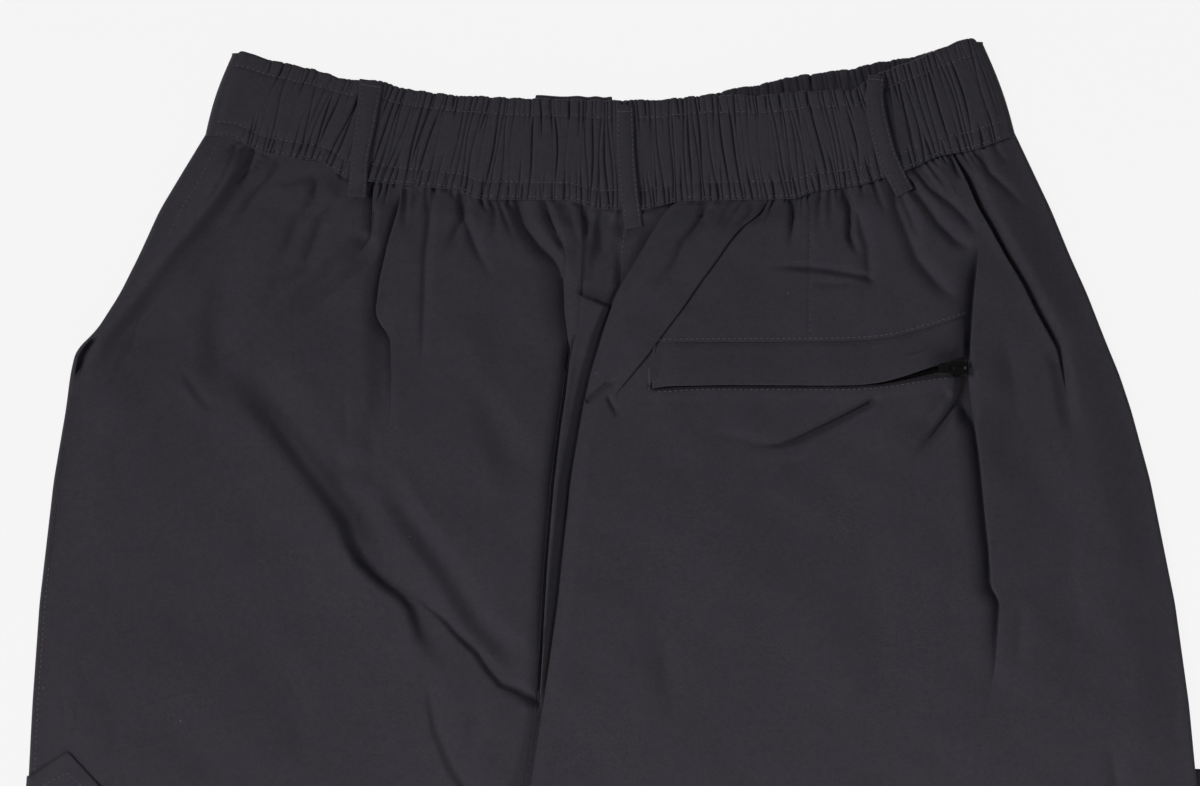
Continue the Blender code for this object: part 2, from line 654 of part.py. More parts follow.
def welt_pocket(panel):
    """The zip's tape on the panel, and the welt over it; returns the slider's seat height."""
    surface = surface_of(panel)
    xs = np.linspace(WELTS[0].x + 1.5, TAPE_RIGHT_END, 13)
    free = [float(read(WELTS, "x", "free", x)) for x in xs]
    open_end = [float(smooth((x - 140.0) / 30.0)) for x in xs]
    rows = [
        [(x, edge - TAPE_OVER) for x, edge in zip(xs, free)],
        [(x, edge + TAPE_UNDER + 7.5 * wide) for x, edge, wide in zip(xs, free, open_end)],
    ]
    tape = lay_on(surface, rows, SEAM_GAP + TAPE_WALL, 5.0)
    add_wall("zip_tape", tape, TAPE_WALL, TAPE_LOOK)

    xs = np.linspace(WELTS[0].x, WELTS[-1].x, 14)
    rows = []
    for share in (0.0, 0.35, 0.7, 1.0):
        rows.append([(x, float(read(WELTS, "x", "sewn", x) * (1.0 - share) + read(WELTS, "x", "free", x) * share))
                     for x in xs])
    add_wall("pocket_welt", lay_on(surface_of(panel, tape), rows, LAYER, 6.0), CLOTH)
    return top_of(surface_of(tape), SLIDER_X, SLIDER_DOWN, 3.0)


def zip_slider(seat):
    """Slider body with the bridge that holds the pull tab."""
    shape = bmesh.new()
    size = Vector((SLIDER_LENGTH, SLIDER_WIDTH, SLIDER_HEIGHT)) * MM
    bmesh.ops.create_cube(shape, size=1.0, matrix=Matrix.Diagonal((*size, 1.0)))
    bmesh.ops.bevel(shape, geom=shape.edges[:], offset=0.6 * MM, segments=2, affect="EDGES")
    body_mesh = bpy.data.meshes.new("zip_slider")
    shape.to_mesh(body_mesh)
    shape.free()
    slider = add_object("zip_slider", body_mesh, ZIP_LOOK)
    slider.location = Vector((SLIDER_X, -SLIDER_DOWN, seat + SEAM_GAP + SLIDER_HEIGHT / 2.0)) * MM

    half = BRIDGE_LENGTH / 2.0 - BRIDGE_WALL / 2.0
    top = SLIDER_HEIGHT / 2.0 + BRIDGE_CLEAR + BRIDGE_WALL / 2.0
    foot = SLIDER_HEIGHT / 2.0 - 0.8
    arch = [(-half, foot), (-half, top - 0.7), (-half + 0.7, top), (half - 0.7, top), (half, top - 0.7),
            (half, foot)]
    curve = bpy.data.curves.new("zip_bridge", "CURVE")
    curve.dimensions = "3D"
    spline = curve.splines.new("POLY")
    spline.points.add(len(arch) - 1)
    for point, (x, z) in zip(spline.points, arch):
        point.co = (x * MM, 0.0, z * MM, 1.0)
    curve.bevel_depth = BRIDGE_WALL / 2.0 * MM
    curve.bevel_resolution = 2
    curve.use_fill_caps = True
    wire = bpy.data.objects.new("zip_bridge_curve", curve)
    cutters.objects.link(wire)
    bpy.context.view_layer.update()
    evaluated = wire.evaluated_get(bpy.context.evaluated_depsgraph_get())
    mesh = bpy.data.meshes.new_from_object(evaluated)
    shape = bmesh.new()
    shape.from_mesh(mesh)
    bmesh.ops.remove_doubles(shape, verts=shape.verts[:], dist=0.01 * MM)
    bmesh.ops.scale(shape, vec=(1.0, BRIDGE_WIDTH / BRIDGE_WALL, 1.0), verts=shape.verts[:])
    shape.to_mesh(mesh)
    shape.free()
    bpy.data.objects.remove(wire)
    bridge = bpy.data.objects.new("zip_bridge", mesh)
    cutters.objects.link(bridge)
    bridge.parent = slider
    bridge.hide_render = True
    bridge.display_type = "WIRE"
    join = slider.modifiers.new("bridge", "BOOLEAN")
    join.operation = "UNION"
    join.object = bridge
    return slider


def zip_pull(seat):
    """Pull tab: a plate with an eye that the bridge passes through. Its origin is its axis."""
    right = TAB_BAR / 2.0
    left = right - TAB_LENGTH
    half = TAB_WIDTH / 2.0
    corner = 1.2
    outline = [(right, -half + 0.6), (right, half - 0.6), (right - 0.6, half), (left + corner, half - 0.3),
               (left, half - 0.3 - corner), (left, -half + 0.3 + corner), (left + corner, -half + 0.3),
               (right - 0.6, -half)]
    eye_right = right - TAB_BAR
    eye_left = eye_right - TAB_EYE_LENGTH
    eye_half = TAB_EYE_WIDTH / 2.0
    eye = [(eye_right, -eye_half), (eye_left, -eye_half), (eye_left, eye_half), (eye_right, eye_half)]
    curve = bpy.data.curves.new("zip_pull", "CURVE")
    curve.dimensions = "2D"
    curve.fill_mode = "BOTH"
    curve.extrude = TAB_THICK / 2.0 * MM
    for loop in (outline, eye):
        spline = curve.splines.new("POLY")
        spline.points.add(len(loop) - 1)
        for point, (x, y) in zip(spline.points, loop):
            point.co = (x * MM, y * MM, 0.0, 1.0)
        spline.use_cyclic_u = True
    flat = bpy.data.objects.new("zip_pull_curve", curve)
    cutters.objects.link(flat)
    bpy.context.view_layer.update()
    evaluated = flat.evaluated_get(bpy.context.evaluated_depsgraph_get())
    mesh = bpy.data.meshes.new_from_object(evaluated)
    shape = bmesh.new()
    shape.from_mesh(mesh)
    bmesh.ops.remove_doubles(shape, verts=shape.verts[:], dist=0.01 * MM)
    shape.to_mesh(mesh)
    shape.free()
    bpy.data.objects.remove(flat)
    pull = add_object("zip_pull", mesh, ZIP_LOOK)
    axis_x = SLIDER_X + BRIDGE_LENGTH / 2.0 - PIVOT_INSET
    axis_z = seat + SEAM_GAP + SLIDER_HEIGHT + PIVOT_HEIGHT
    pull.location = Vector((axis_x, -SLIDER_DOWN, axis_z)) * MM
    return pull


def wrap_point(surface, around, down, over):
    """A point that lies `over` outside the left leg.

    around is the distance from the leg's outermost line, over the top where it is above 0 and
    underneath where it is below.
    """
    outer = float(section("outer_left", down))
    radius = EDGE_RADIUS + over
    quarter = math.pi / 2.0 * radius
    centre_x = outer + EDGE_RADIUS
    base = float(lift(centre_x, down))
    if abs(around) < quarter:
        turn = around / radius
        return centre_x - radius * math.cos(turn), -down, base + EDGE_RADIUS + radius * math.sin(turn)
    x = centre_x + abs(around) - quarter
    if around < 0:
        return x, -down, float(lift(x, down)) - over
    return x, -down, max(top_of(surface, x, down, 4.0), base + EDGE_HEIGHT) + over


def wrapped_piece(name, above, top, bottom, surface, over):
    """A piece round the left leg's outer edge.

    It reaches `above` from the leg's outermost line on top and POCKET_REACH_UNDER underneath.
    top(around) is how far down its upper edge lies, and `over` its height over the leg.
    """
    turn = (EDGE_RADIUS + over) * math.pi / 2.0
    marks = [-POCKET_REACH_UNDER, -0.55 * POCKET_REACH_UNDER, -turn, -turn / 2.0, 0.0, turn / 2.0, turn]
    marks += [corner.around for corner in FLAP_TOP if turn + 2.0 < corner.around < above - 2.0]
    marks.append(above)
    grid = []
    for share in np.linspace(0.0, 1.0, WRAP_ROWS + 1):
        row = []
        for mark in marks:
            down = top(mark) + share * (bottom - top(mark))
            row.append(wrap_point(surface, mark, down, over))
        grid.append(row)
    add_wall(name, np.array(grid), CLOTH)


def thigh_pockets(left_surface):
    """A pocket and a flap round the left leg's edge, and the same two under the right leg."""
    def flap_top(around):
        return float(read(FLAP_TOP, "around", "down", around))

    wrapped_piece("cargo_pocket_left", POCKET_REACH_ABOVE, lambda around: POCKET_TOP, POCKET_BOTTOM,
                  left_surface, LAYER)
    wrapped_piece("cargo_flap_left", FLAP_TOP[-1].around, flap_top, FLAP_BOTTOM, left_surface, 2.0 * LAYER)

    for name, top, bottom, out, height in (
            ("cargo_flap_right", FLAP_RIGHT_TOP, FLAP_BOTTOM, FLAP_STANDS_OUT, CLOTH),
            ("cargo_pocket_right", POCKET_TOP, POCKET_BOTTOM, POCKET_STANDS_OUT, CLOTH + LAYER)):
        grid = []
        for down in np.linspace(top, bottom, 7):
            outer = float(section("outer_right", down)) + out
            grid.append([(RIGHT_POCKET_INNER, -down, height), (outer, -down, height)])
        add_wall(name, np.array(grid), CLOTH)


def centre_on_origin():
    """Move the garment so that the origin is under the middle of its box, on the surface."""
    bpy.context.view_layer.update()
    graph = bpy.context.evaluated_depsgraph_get()
    corners = []
    for piece in garment.objects:
        if piece.type == "MESH":
            shape = piece.evaluated_get(graph)
            corners.extend(shape.matrix_world @ Vector(corner) for corner in shape.bound_box)
    low = [min(corner[axis] for corner in corners) for axis in range(3)]
    high = [max(corner[axis] for corner in corners) for axis in range(3)]
    placing.location = (-(low[0] + high[0]) / 2.0, -(low[1] + high[1]) / 2.0, 0.0)


for thing in list(bpy.data.objects):
    bpy.data.objects.remove(thing)
garment = bpy.data.collections.new("cargo_trousers")
cutters = bpy.data.collections.new("cutters")
bpy.context.scene.collection.children.link(garment)
bpy.context.scene.collection.children.link(cutters)
placing = bpy.data.objects.new("trousers_place", None)
garment.objects.link(placing)

left_back = back_panel_left()
right_back = back_panel_right()
left_front = front_panel_left()
front_panel_right()
band = waistbands()
whole_back = surface_of(left_back, right_back, band)
for loop_name, loop_path in LOOPS.items():
    belt_loop(loop_name, loop_path, whole_back)
zip_seat = welt_pocket(right_back)
zip_slider(zip_seat)
zip_pull(zip_seat)
thigh_pockets(surface_of(left_back, left_front))
centre_on_origin()
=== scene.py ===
"""Looks of the cargo trousers: their cloth, folds, gathers, sewing and zip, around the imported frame.

Lengths in the tables are in millimetres. x runs across the garment and `down` runs from a line just
above the waistband towards the hems, as in the frame's own drawing; to_frame() turns them into the
frame's metres. A surface is a grid of (x, down, height) points that stands for a thin shell of cloth.
"""
import math
from collections import namedtuple

import bpy
import numpy as np
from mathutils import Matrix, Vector
from mathutils.bvhtree import BVHTree


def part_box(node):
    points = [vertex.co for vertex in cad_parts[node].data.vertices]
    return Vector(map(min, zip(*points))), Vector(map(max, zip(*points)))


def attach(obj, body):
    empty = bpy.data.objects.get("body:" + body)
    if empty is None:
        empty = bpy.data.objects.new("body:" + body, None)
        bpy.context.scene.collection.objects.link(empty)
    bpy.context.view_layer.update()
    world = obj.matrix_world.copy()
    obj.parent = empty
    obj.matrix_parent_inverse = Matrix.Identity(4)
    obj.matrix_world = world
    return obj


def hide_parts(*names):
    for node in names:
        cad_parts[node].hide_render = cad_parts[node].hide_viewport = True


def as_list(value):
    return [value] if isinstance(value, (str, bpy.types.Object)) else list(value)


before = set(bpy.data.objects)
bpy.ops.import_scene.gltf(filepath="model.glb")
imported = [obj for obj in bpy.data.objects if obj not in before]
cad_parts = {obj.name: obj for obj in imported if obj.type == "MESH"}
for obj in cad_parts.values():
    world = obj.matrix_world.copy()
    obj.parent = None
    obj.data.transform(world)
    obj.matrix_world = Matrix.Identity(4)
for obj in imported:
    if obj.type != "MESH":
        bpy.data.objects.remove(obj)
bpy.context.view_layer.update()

MM = 0.001
BODY = "trousers"

# ---------------------------------------------------------------- sizes shared with the solids

LAYER = 1.5                 # height that one more layer of cloth takes
LOWEST_BACK = 2.7           # outer face of a back panel that lies right on the front
EDGE_RADIUS = 2.1
EDGE_HEIGHT = 2.0 * EDGE_RADIUS
EDGE_SOFT = 26.0
DEEPEST = LOWEST_BACK - EDGE_HEIGHT + 0.3
UNDER_TURN = 7.0
TUCK = 12.0
FOLD_DIP = 9.0
CROTCH_DOWN, HEM_DOWN = 425.0, 1040.0
LOFT_SEAM, LOFT_HIP, LOFT_CROTCH, LOFT_HEM = 0.9, 3.6, 2.8, 1.6
HIP_REACH = 15.0
POCKET_LIFT = 2.0 * LAYER
LIFT_FROM, LIFT_FULL, LIFT_LAST, LIFT_END = 290.0, 383.0, 600.0, 680.0
LIFT_INNER_LEFT, LIFT_INNER_RIGHT, LIFT_SLOPE = -205.0, 222.0, 80.0
BAND_HEIGHT = 6.6
BAND_WALL = 2.4
BAND_TURN = BAND_HEIGHT / 2.0
GAPE_RISE = 5.0
FLAT_FRONT = (-32.5, 6.0)
SLIDER_X, SLIDER_DOWN = 179.0, 184.0
LEG_SEAM_INSET = 7.5
RIM_RISE = 0.6              # how far the side seam's edge stands over the front panel

Section = namedtuple("Section", "down outer_left outer_right strip seat_seam fold_edge")
SECTIONS = [Section(*row) for row in [
    (67, -197.5, 208, 9.5, 15, 84),
    (85, -208.5, 216.5, 13, 15, 60),
    (105, -220.5, 226, 13, 15, 33),
    (127, -230.5, 235, 12, 12.5, 20),
    (147, -240.5, 244, 7, 11, 8),
    (165, -252, 251, 3, 8, 2),
    (175, -262.5, 255, 7, 6, -1),
    (187, -265.2, 260, 5, 3.5, -4.5),
    (205, -267.5, 266, 2.6, -1, -8.5),
    (240, -273.5, 275.5, 2.4, -7, -14.5),
    (302, -280.7, 288, 2.4, -13.5, -21),
    (352, -284, 294.7, 2.4, -20.5, -28),
    (393, -286, 298.5, 2.4, -27.5, -34.5),
    (425, -290, 301, 2.4, -34, -36),
    (443, -291.2, 302.3, 2.4, -33, -31),
    (480, -292, 303, 2.4, -30, -14),
    (600, -288, 299, 2.4, -33, 8),
    (800, -271, 283, 2.4, -42, 38),
    (1040, -258, 268, 2.4, -48, 58),
]]
OUTLINE_SOFT = 4.0          # the outlines' corners are rounded over this distance

Edge = namedtuple("Edge", "x down")
BAND_SEAM = [Edge(*row) for row in [
    (-197.5, 67), (-183, 68.5), (-170, 75.5), (-151, 79), (-139.5, 79.7), (-127, 89), (-109, 91),
    (-71, 94.5), (-60, 99.3), (-15, 99.6), (-2, 104), (22, 104.5), (40, 100), (98, 99), (106, 95.5),
    (131, 92), (155, 84), (169, 77.5), (187.5, 74.5), (208, 67),
]]
BAND_TOP = [Edge(*row) for row in [
    (-184, 27.5), (-180, 26.2), (-165, 31), (-142, 36), (-127, 41), (-112, 41), (-97, 45.5), (-75, 48.5),
    (-37, 50.3), (5, 51.2), (30, 51), (52, 48.6), (81, 49), (101, 47), (127, 46.3), (135, 40.5), (141, 37),
    (156, 31.5), (172, 24.6), (184, 19.8), (191.5, 22),
]]
SEAM_WIDTH = BAND_SEAM[-1].x - BAND_SEAM[0].x
Gape = namedtuple("Gape", "x rise")
GAPES = [Gape(*row) for row in [
    (-190, 0), (50, 0), (67, 4), (90, 8), (112, 10), (127, 11.5), (141, 5.6), (156, 2.6), (172, 0),
    (200, 0),
]]
FULL_GAPE = 11.5            # the largest of those rises

# ---------------------------------------------------------------- creases

# A crease follows its path of (x, down) points down the garment. west and east are the heights
# that it adds at its line to the left and right of it, each over its own reach; grow and fade are
# the shares of its length over which it starts and ends, and turn is the distance across its line
# over which one side's height gives way to the other's.
Crease = namedtuple("Crease", "path west west_reach east east_reach grow fade turn")
CREASE_SHARE = 1.15         # the creases are this much deeper than their tables say
ROUND_TURN = 6.0            # a crease whose turn is this wide or wider has no cusp


def trough(path, depth, reach, grow=0.02, fade=0.5):
    return Crease(path, -1.25 * depth, 1.35 * reach, -1.25 * depth, 1.35 * reach, grow, fade, 1.0)


def dip(path, depth, reach, grow, fade):
    return Crease(path, -depth, reach, -depth, reach, grow, fade, ROUND_TURN)


def step(path, west, west_reach, east, east_reach, grow, fade, turn=2.2):
    return Crease(path, west, west_reach, east, east_reach, grow, fade, turn)


LEFT_CREASES = [
    trough([(-138, 82), (-143, 100), (-151, 110), (-157, 125), (-163, 140)], 2.5, 6),
    trough([(-127, 90), (-130, 100), (-139, 110), (-142, 120), (-147, 132), (-161, 139), (-164, 148),
        (-166, 160)], 2.4, 6, 0.25),
    dip([(-114, 116), (-120, 126), (-132, 135), (-142, 144), (-152, 153), (-162, 163)], 3.4, 9, 0.1, 0.5),
    trough([(-96, 94), (-97, 104), (-98, 116)], 1.6, 3),
    trough([(-68, 96), (-68, 108), (-73, 118), (-78, 128)], 2.2, 4),
    trough([(-68, 96), (-68, 108), (-62, 123), (-59, 130), (-53, 141)], 2, 4),
    trough([(-53, 99), (-52, 110), (-54, 122)], 1.2, 4),
    trough([(-27, 100), (-26, 106), (-22, 116), (-17.5, 126)], 2.2, 2.6, 0.02, 0.2),
    trough([(-19, 100), (-18, 107), (-16, 114)], 1.2, 2),
    trough([(27.5, 103), (26, 110), (21.5, 120), (17, 129), (12, 139)], 2.8, 5, 0.2, 0.5),
    trough([(4, 103), (3, 112), (1, 123), (-1, 134)], 3, 3.4),
    trough([(2, 104), (-1, 118), (-3, 132), (-4, 142)], 1.2, 3, 0.2),
    trough([(-7, 101), (-6, 112), (-8, 124)], 1.8, 3),
    trough([(12, 104), (12, 112), (10, 121)], 1.6, 2.5),
    # long diagonal towards the crotch: its lower left side is raised, its upper right side is a hollow
    step([(-188, 184), (-177, 195), (-166, 208), (-155, 222), (-144, 236), (-133, 250), (-124, 262),
        (-118, 274), (-112, 284), (-103, 293)], 2.4, 42, -3.8, 28, 0.25, 0.3, 20),
    step([(-141, 243), (-133, 254), (-128, 262), (-126, 270), (-121, 280), (-111, 290), (-100, 298),
        (-95, 304), (-91, 316), (-86, 325), (-78, 336)], 1.6, 30, -2.8, 22, 0.4, 0.3, 9),
    dip([(-180, 194), (-166, 208), (-155, 222), (-145, 236), (-135, 249), (-127, 260), (-123, 271),
        (-118, 280), (-108, 290), (-97, 299), (-92, 308), (-88, 320)], 0.9, 5, 0.3, 0.4),
    step([(-127, 268), (-121, 280), (-111, 290), (-100, 298), (-95, 304), (-91, 316), (-87, 324)], 0.7, 9,
        -1.2, 6, 0.2, 0.3, 1.5),
    step([(-104, 291), (-95, 297), (-86, 304), (-78, 311), (-71, 319), (-63, 326), (-57, 335), (-50, 343),
        (-41, 346), (-34, 350), (-27, 354)], 0.5, 12, -2.8, 9, 0.5, 0.02, 1.4),
    trough([(-50, 343), (-41, 346), (-34, 350), (-27, 354)], 2.4, 4, 0.5, 0.02),
    dip([(-110, 231), (-103, 247), (-96, 258), (-85, 272), (-76, 285), (-67, 299), (-58, 313), (-48, 323),
        (-38, 331)], 2.7, 10, 0.2, 0.15),
    dip([(-138, 231), (-122, 233), (-107, 238)], 1.2, 10, 0.3, 0.3),
    dip([(-178, 127), (-186, 143), (-190, 160), (-191, 180), (-187, 200)], 2.7, 13, 0.3, 0.4),
    step([(-182, 72), (-185, 82), (-188, 89), (-193, 97), (-198, 105)], -1.4, 2, -1.4, 4, 0.02, 0.3, 1),
    trough([(-172, 74), (-176, 84), (-182, 94)], 1.6, 2.6, 0.02, 0.4),
    trough([(-156, 78), (-163, 88), (-171, 99), (-180, 110)], 1.8, 3, 0.02, 0.4),
    trough([(-145, 80), (-149, 88), (-157, 91), (-164, 90)], 1.3, 3, 0.02, 0.4),
    dip([(-110, 150), (-110, 175), (-109, 200), (-111, 228)], 1.5, 9, 0.2, 0.4),
    trough([(-128, 195), (-127, 210), (-127, 226)], 0.8, 2.5, 0.3),
    step([(-211, 184), (-208, 188), (-203, 196), (-198, 203), (-192, 207)], 0.7, 10, -1.1, 8, 0.3, 0.3, 5),
    dip([(-68, 180), (-57, 203), (-47, 224), (-36, 246)], 1.7, 13, 0.4, 0.4),
    step([(-90, 330), (-87, 345), (-83, 366), (-76, 383), (-67, 397), (-60, 420)], 0.4, 14, -1.8, 16, 0.35,
        0.3, 4.5),
    dip([(-60, 350), (-62, 366), (-67, 386)], 0.9, 8, 0.3, 0.4),
    trough([(-269, 342), (-268, 356), (-266, 374)], 0.8, 4.5, 0.3),
    trough([(-253, 336), (-261, 353), (-262, 372)], 0.8, 4.5, 0.3),
    trough([(-242, 358), (-242, 370), (-243, 382)], 0.7, 4.5, 0.3),
    # soft ridges and hollows of the seat and thigh
    step([(-150, 150), (-150, 190), (-140, 235)], 0.9, 22, 0.9, 18, 0.4, 0.5),
    step([(-72, 140), (-62, 180), (-52, 225)], 1.1, 16, 1.1, 14, 0.4, 0.5),
    trough([(-118, 200), (-112, 232), (-118, 262)], 0.9, 10, 0.4),
    trough([(-215, 240), (-205, 290), (-212, 345)], 0.9, 20, 0.4),
    trough([(-180, 300), (-150, 350), (-146, 420)], 0.9, 22, 0.4),
    # lower leg
    trough([(-200, 470), (-212, 560), (-200, 660)], 1.6, 26, 0.4),
    step([(-110, 480), (-130, 600), (-122, 760)], 1.8, 30, 1.8, 30, 0.4, 0.4),
    trough([(-70, 620), (-96, 700), (-150, 760)], 1.7, 16, 0.4),
    trough([(-215, 740), (-180, 820), (-120, 860)], 1.6, 18, 0.4),
    trough([(-62, 470), (-90, 520), (-140, 545)], 1.6, 9, 0.2),
    trough([(-46, 520), (-80, 590), (-95, 660)], 1.2, 10, 0.2),
    trough([(-240, 650), (-215, 700), (-160, 720)], 1.1, 12, 0.3),
    step([(-160, 860), (-170, 940), (-165, 1035)], 1.4, 26, 1.4, 26, 0.4, 0.1),
    trough([(-120, 900), (-128, 970), (-126, 1036)], 1.2, 14, 0.4, 0.1),
    trough([(-215, 930), (-212, 990), (-216, 1036)], 1, 12, 0.4, 0.1),
]

RIGHT_CREASES = [
    step([(54, 98), (51, 110), (42, 121), (39, 129), (33, 137), (22, 147)], -2.6, 5, -2.2, 4, 0.02, 0.4),
    trough([(66, 99), (62, 108), (58, 116)], 1, 3),
    trough([(123, 93), (125, 101), (125, 118), (130, 130)], 3.2, 2.8, 0.02, 0.4),
    trough([(126, 100), (130, 110), (134, 124), (135, 137), (138, 141)], 1.6, 5, 0.2, 0.2),
    trough([(82, 134), (94, 133), (106, 134), (115, 135), (126, 137), (134, 138.5), (138, 142)], 1.9, 2.8,
        0.4, 0.1),
    trough([(97, 95), (97, 108), (95, 125)], 2.6, 3.2),
    trough([(85, 97), (80, 104), (70, 111), (60, 115)], 1, 5),
    trough([(104, 141), (118, 142), (130, 141)], 0.7, 4, 0.3, 0.3),
    trough([(147, 86), (148, 103), (159, 130), (170, 143), (182, 153)], 2.2, 6, 0.05, 0.3),
    trough([(150, 96), (155, 107), (160, 121)], 1.9, 4.5, 0.1, 0.4),
    trough([(153, 88), (161, 99), (169, 111), (178, 120), (186, 125)], 2.2, 4.6, 0.1, 0.2),
    trough([(156, 82), (164, 93), (176, 102), (184, 110), (189, 120)], 1.8, 4, 0.02, 0.3),
    trough([(175, 76), (178, 84), (181, 91)], 2, 2.6),
    trough([(190, 75), (195, 86), (207, 97), (215, 106)], 2, 4, 0.02, 0.4),
    trough([(196, 70), (200, 76), (205, 83)], 1.4, 3, 0.02, 0.4),
    dip([(226, 172), (231, 186), (234, 204), (236, 222)], 2, 7, 0.2, 0.4),
    trough([(212, 300), (210, 318), (207, 340)], 1, 7, 0.3),
    # creases below the welt pocket
    step([(46, 214), (63, 217), (79, 221), (90, 222), (104, 218), (115, 212), (127, 206), (139, 197)], -1,
        9, -0.8, 6, 0.3, 0.3),
    trough([(76, 223), (90, 222), (99, 219), (110, 214), (124, 207), (133.5, 202), (140, 197.5)], 4, 2.5,
        0.5, 0.1),
    trough([(183, 192), (181, 197), (173, 209), (164, 220), (155, 232)], 4.2, 3.6, 0.05, 0.6),
    trough([(176, 196), (163, 210), (150, 216)], 1.5, 6, 0.1, 0.6),
    dip([(183, 184), (182.5, 198), (184, 216)], 4, 6.5, 0.1, 0.4),
    trough([(112, 229), (90, 232), (72, 245)], 0.9, 11, 0.4),
    trough([(25, 300), (32, 323), (36, 351), (34, 380)], 1.2, 10, 0.4),
    trough([(255, 370), (258, 390), (260, 412)], 1.3, 7, 0.4),
    trough([(287, 335), (289, 357), (294, 390)], 0.8, 5, 0.4),
    step([(60, 240), (70, 290), (66, 350)], 0.9, 34, 0.9, 30, 0.4, 0.5),
    trough([(130, 250), (140, 300), (134, 360)], 0.8, 24, 0.4),
    trough([(232, 240), (238, 300), (232, 360)], 0.9, 14, 0.4),
    trough([(200, 160), (207, 190), (213, 225)], 0.8, 9, 0.4),
    # lower leg
    trough([(240, 440), (232, 560), (222, 680)], 1.6, 26, 0.4),
    step([(120, 450), (130, 600), (150, 760)], 1.8, 32, 1.8, 32, 0.4, 0.4),
    trough([(60, 600), (90, 680), (150, 730)], 1.7, 16, 0.4),
    trough([(235, 720), (190, 810), (130, 850)], 1.6, 18, 0.4),
    trough([(8, 480), (45, 525), (95, 545)], 1.6, 9, 0.2),
    trough([(14, 540), (50, 610), (70, 680)], 1.2, 10, 0.2),
    trough([(255, 640), (225, 690), (175, 712)], 1.1, 12, 0.3),
    step([(165, 850), (176, 940), (170, 1035)], 1.4, 26, 1.4, 26, 0.4, 0.1),
    trough([(120, 900), (126, 970), (124, 1036)], 1.2, 14, 0.4, 0.1),
    trough([(225, 930), (222, 990), (226, 1036)], 1, 12, 0.4, 0.1),
]

# ---------------------------------------------------------------- numbers


def smooth(value):
    """Ease from 0 to 1."""
    share = np.clip(value, 0.0, 1.0)
    return share * share * (3.0 - 2.0 * share)


def stacked(*parts):
    """Points from their coordinates, each an array or one number for all."""
    return np.stack(np.broadcast_arrays(*parts), axis=-1)


def eased(values, count):
    """Each value averaged with its neighbours, `count` values in all."""
    return np.convolve(np.pad(values, count // 2, mode="edge"), np.ones(count) / count, mode="valid")


def interpolate(at, known, values, reach):
    """Piecewise line through (known, values), carried on past its ends, its corners rounded."""
    known, values = np.array(known, float), np.array(values, float)
    run = known[-1] - known[0]
    first = values[0] - run * (values[1] - values[0]) / (known[1] - known[0])
    last = values[-1] + run * (values[-1] - values[-2]) / (known[-1] - known[-2])
    known = np.concatenate([[known[0] - run], known, [known[-1] + run]])
    values = np.concatenate([[first], values, [last]])
    offsets = np.linspace(-reach, reach, 7) if reach else [0.0]
    return sum(np.interp(at + offset, known, values) for offset in offsets) / len(offsets)


def read(table, given, wanted, at, reach=0.0):
    """Value of one column of a table where another column has the value `at`."""
    known, values = ([getattr(row, column) for row in table] for column in (given, wanted))
    return interpolate(at, known, values, reach)


def section(wanted, down):
    return read(SECTIONS, "down", wanted, down, OUTLINE_SOFT)


def band_seam(x):
    return read(BAND_SEAM, "x", "down", x, 3.0)



def across(table, share):
    """x at a share of the way across the waistband's top edge or its seam."""
    return table[0].x + share * (table[-1].x - table[0].x)


def gape(x):
    """How far the front's top edge stands above the back's."""
    return read(GAPES, "x", "rise", x, 3.0)


def on_path(path, down, reach=3.0):
    """x of a path that runs down the garment."""
    xs, downs = zip(*path)
    return interpolate(down, downs, xs, reach)


def along(path):
    return lambda down: on_path(path, down)


def strength(down, start, full, fade, end):
    """1 between full and fade, easing to 0 at start and end."""
    return smooth((down - start) / (full - start)) * smooth((end - down) / (end - fade))


def fall_off(share, cusp):
    """1 at a crease's line down to 0 at its reach: to a cusp, or rounded."""
    return (1.0 - np.clip(share, 0.0, 1.0)) ** 2.2 if cusp else 1.0 - smooth(share)


def crease_rise(crease, x, down):
    """Height that a crease adds at points of the cloth."""
    path = np.array(crease.path, float)
    runs = np.diff(path, axis=0)
    lengths = np.hypot(*runs.T)
    starts = np.concatenate([[0.0], np.cumsum(lengths)])
    reach = max(crease.west_reach, crease.east_reach)
    low, high = path.min(axis=0) - reach, path.max(axis=0) + reach
    rise = np.zeros(np.shape(x))
    near = (x > low[0]) & (x < high[0]) & (down > low[1]) & (down < high[1])
    px, pd = x[near], down[near]
    nearest, side, way = np.full(px.shape, 1e9), 0.0, 0.0
    for start, run, length, before in zip(path, runs, lengths, starts):
        dx, dd = px - start[0], pd - start[1]
        share = np.clip((dx * run[0] + dd * run[1]) / length ** 2, 0.0, 1.0)
        gap = np.hypot(dx - share * run[0], dd - share * run[1])
        closer = gap < nearest
        nearest = np.where(closer, gap, nearest)
        side = np.where(closer, (run[1] * dx - run[0] * dd) / length, side)
        way = np.where(closer, (before + share * length) / starts[-1], way)
    cusp = crease.turn < ROUND_TURN
    fall_west = fall_off(nearest / crease.west_reach, cusp and crease.west < 0)
    fall_east = fall_off(nearest / crease.east_reach, cusp and crease.east < 0)
    eastern = smooth(0.5 + side / crease.turn)
    bump = crease.west * fall_west * (1.0 - eastern) + crease.east * fall_east * eastern
    rise[near] = bump * smooth(way / crease.grow) * smooth((1.0 - way) / crease.fade)
    return rise


WAVES = 22                  # soft waves that keep the cloth from lying dead flat
SHORTEST_WAVE, LONGEST_WAVE = 16.0, 130.0
WAVE_STEEPNESS = 0.0029


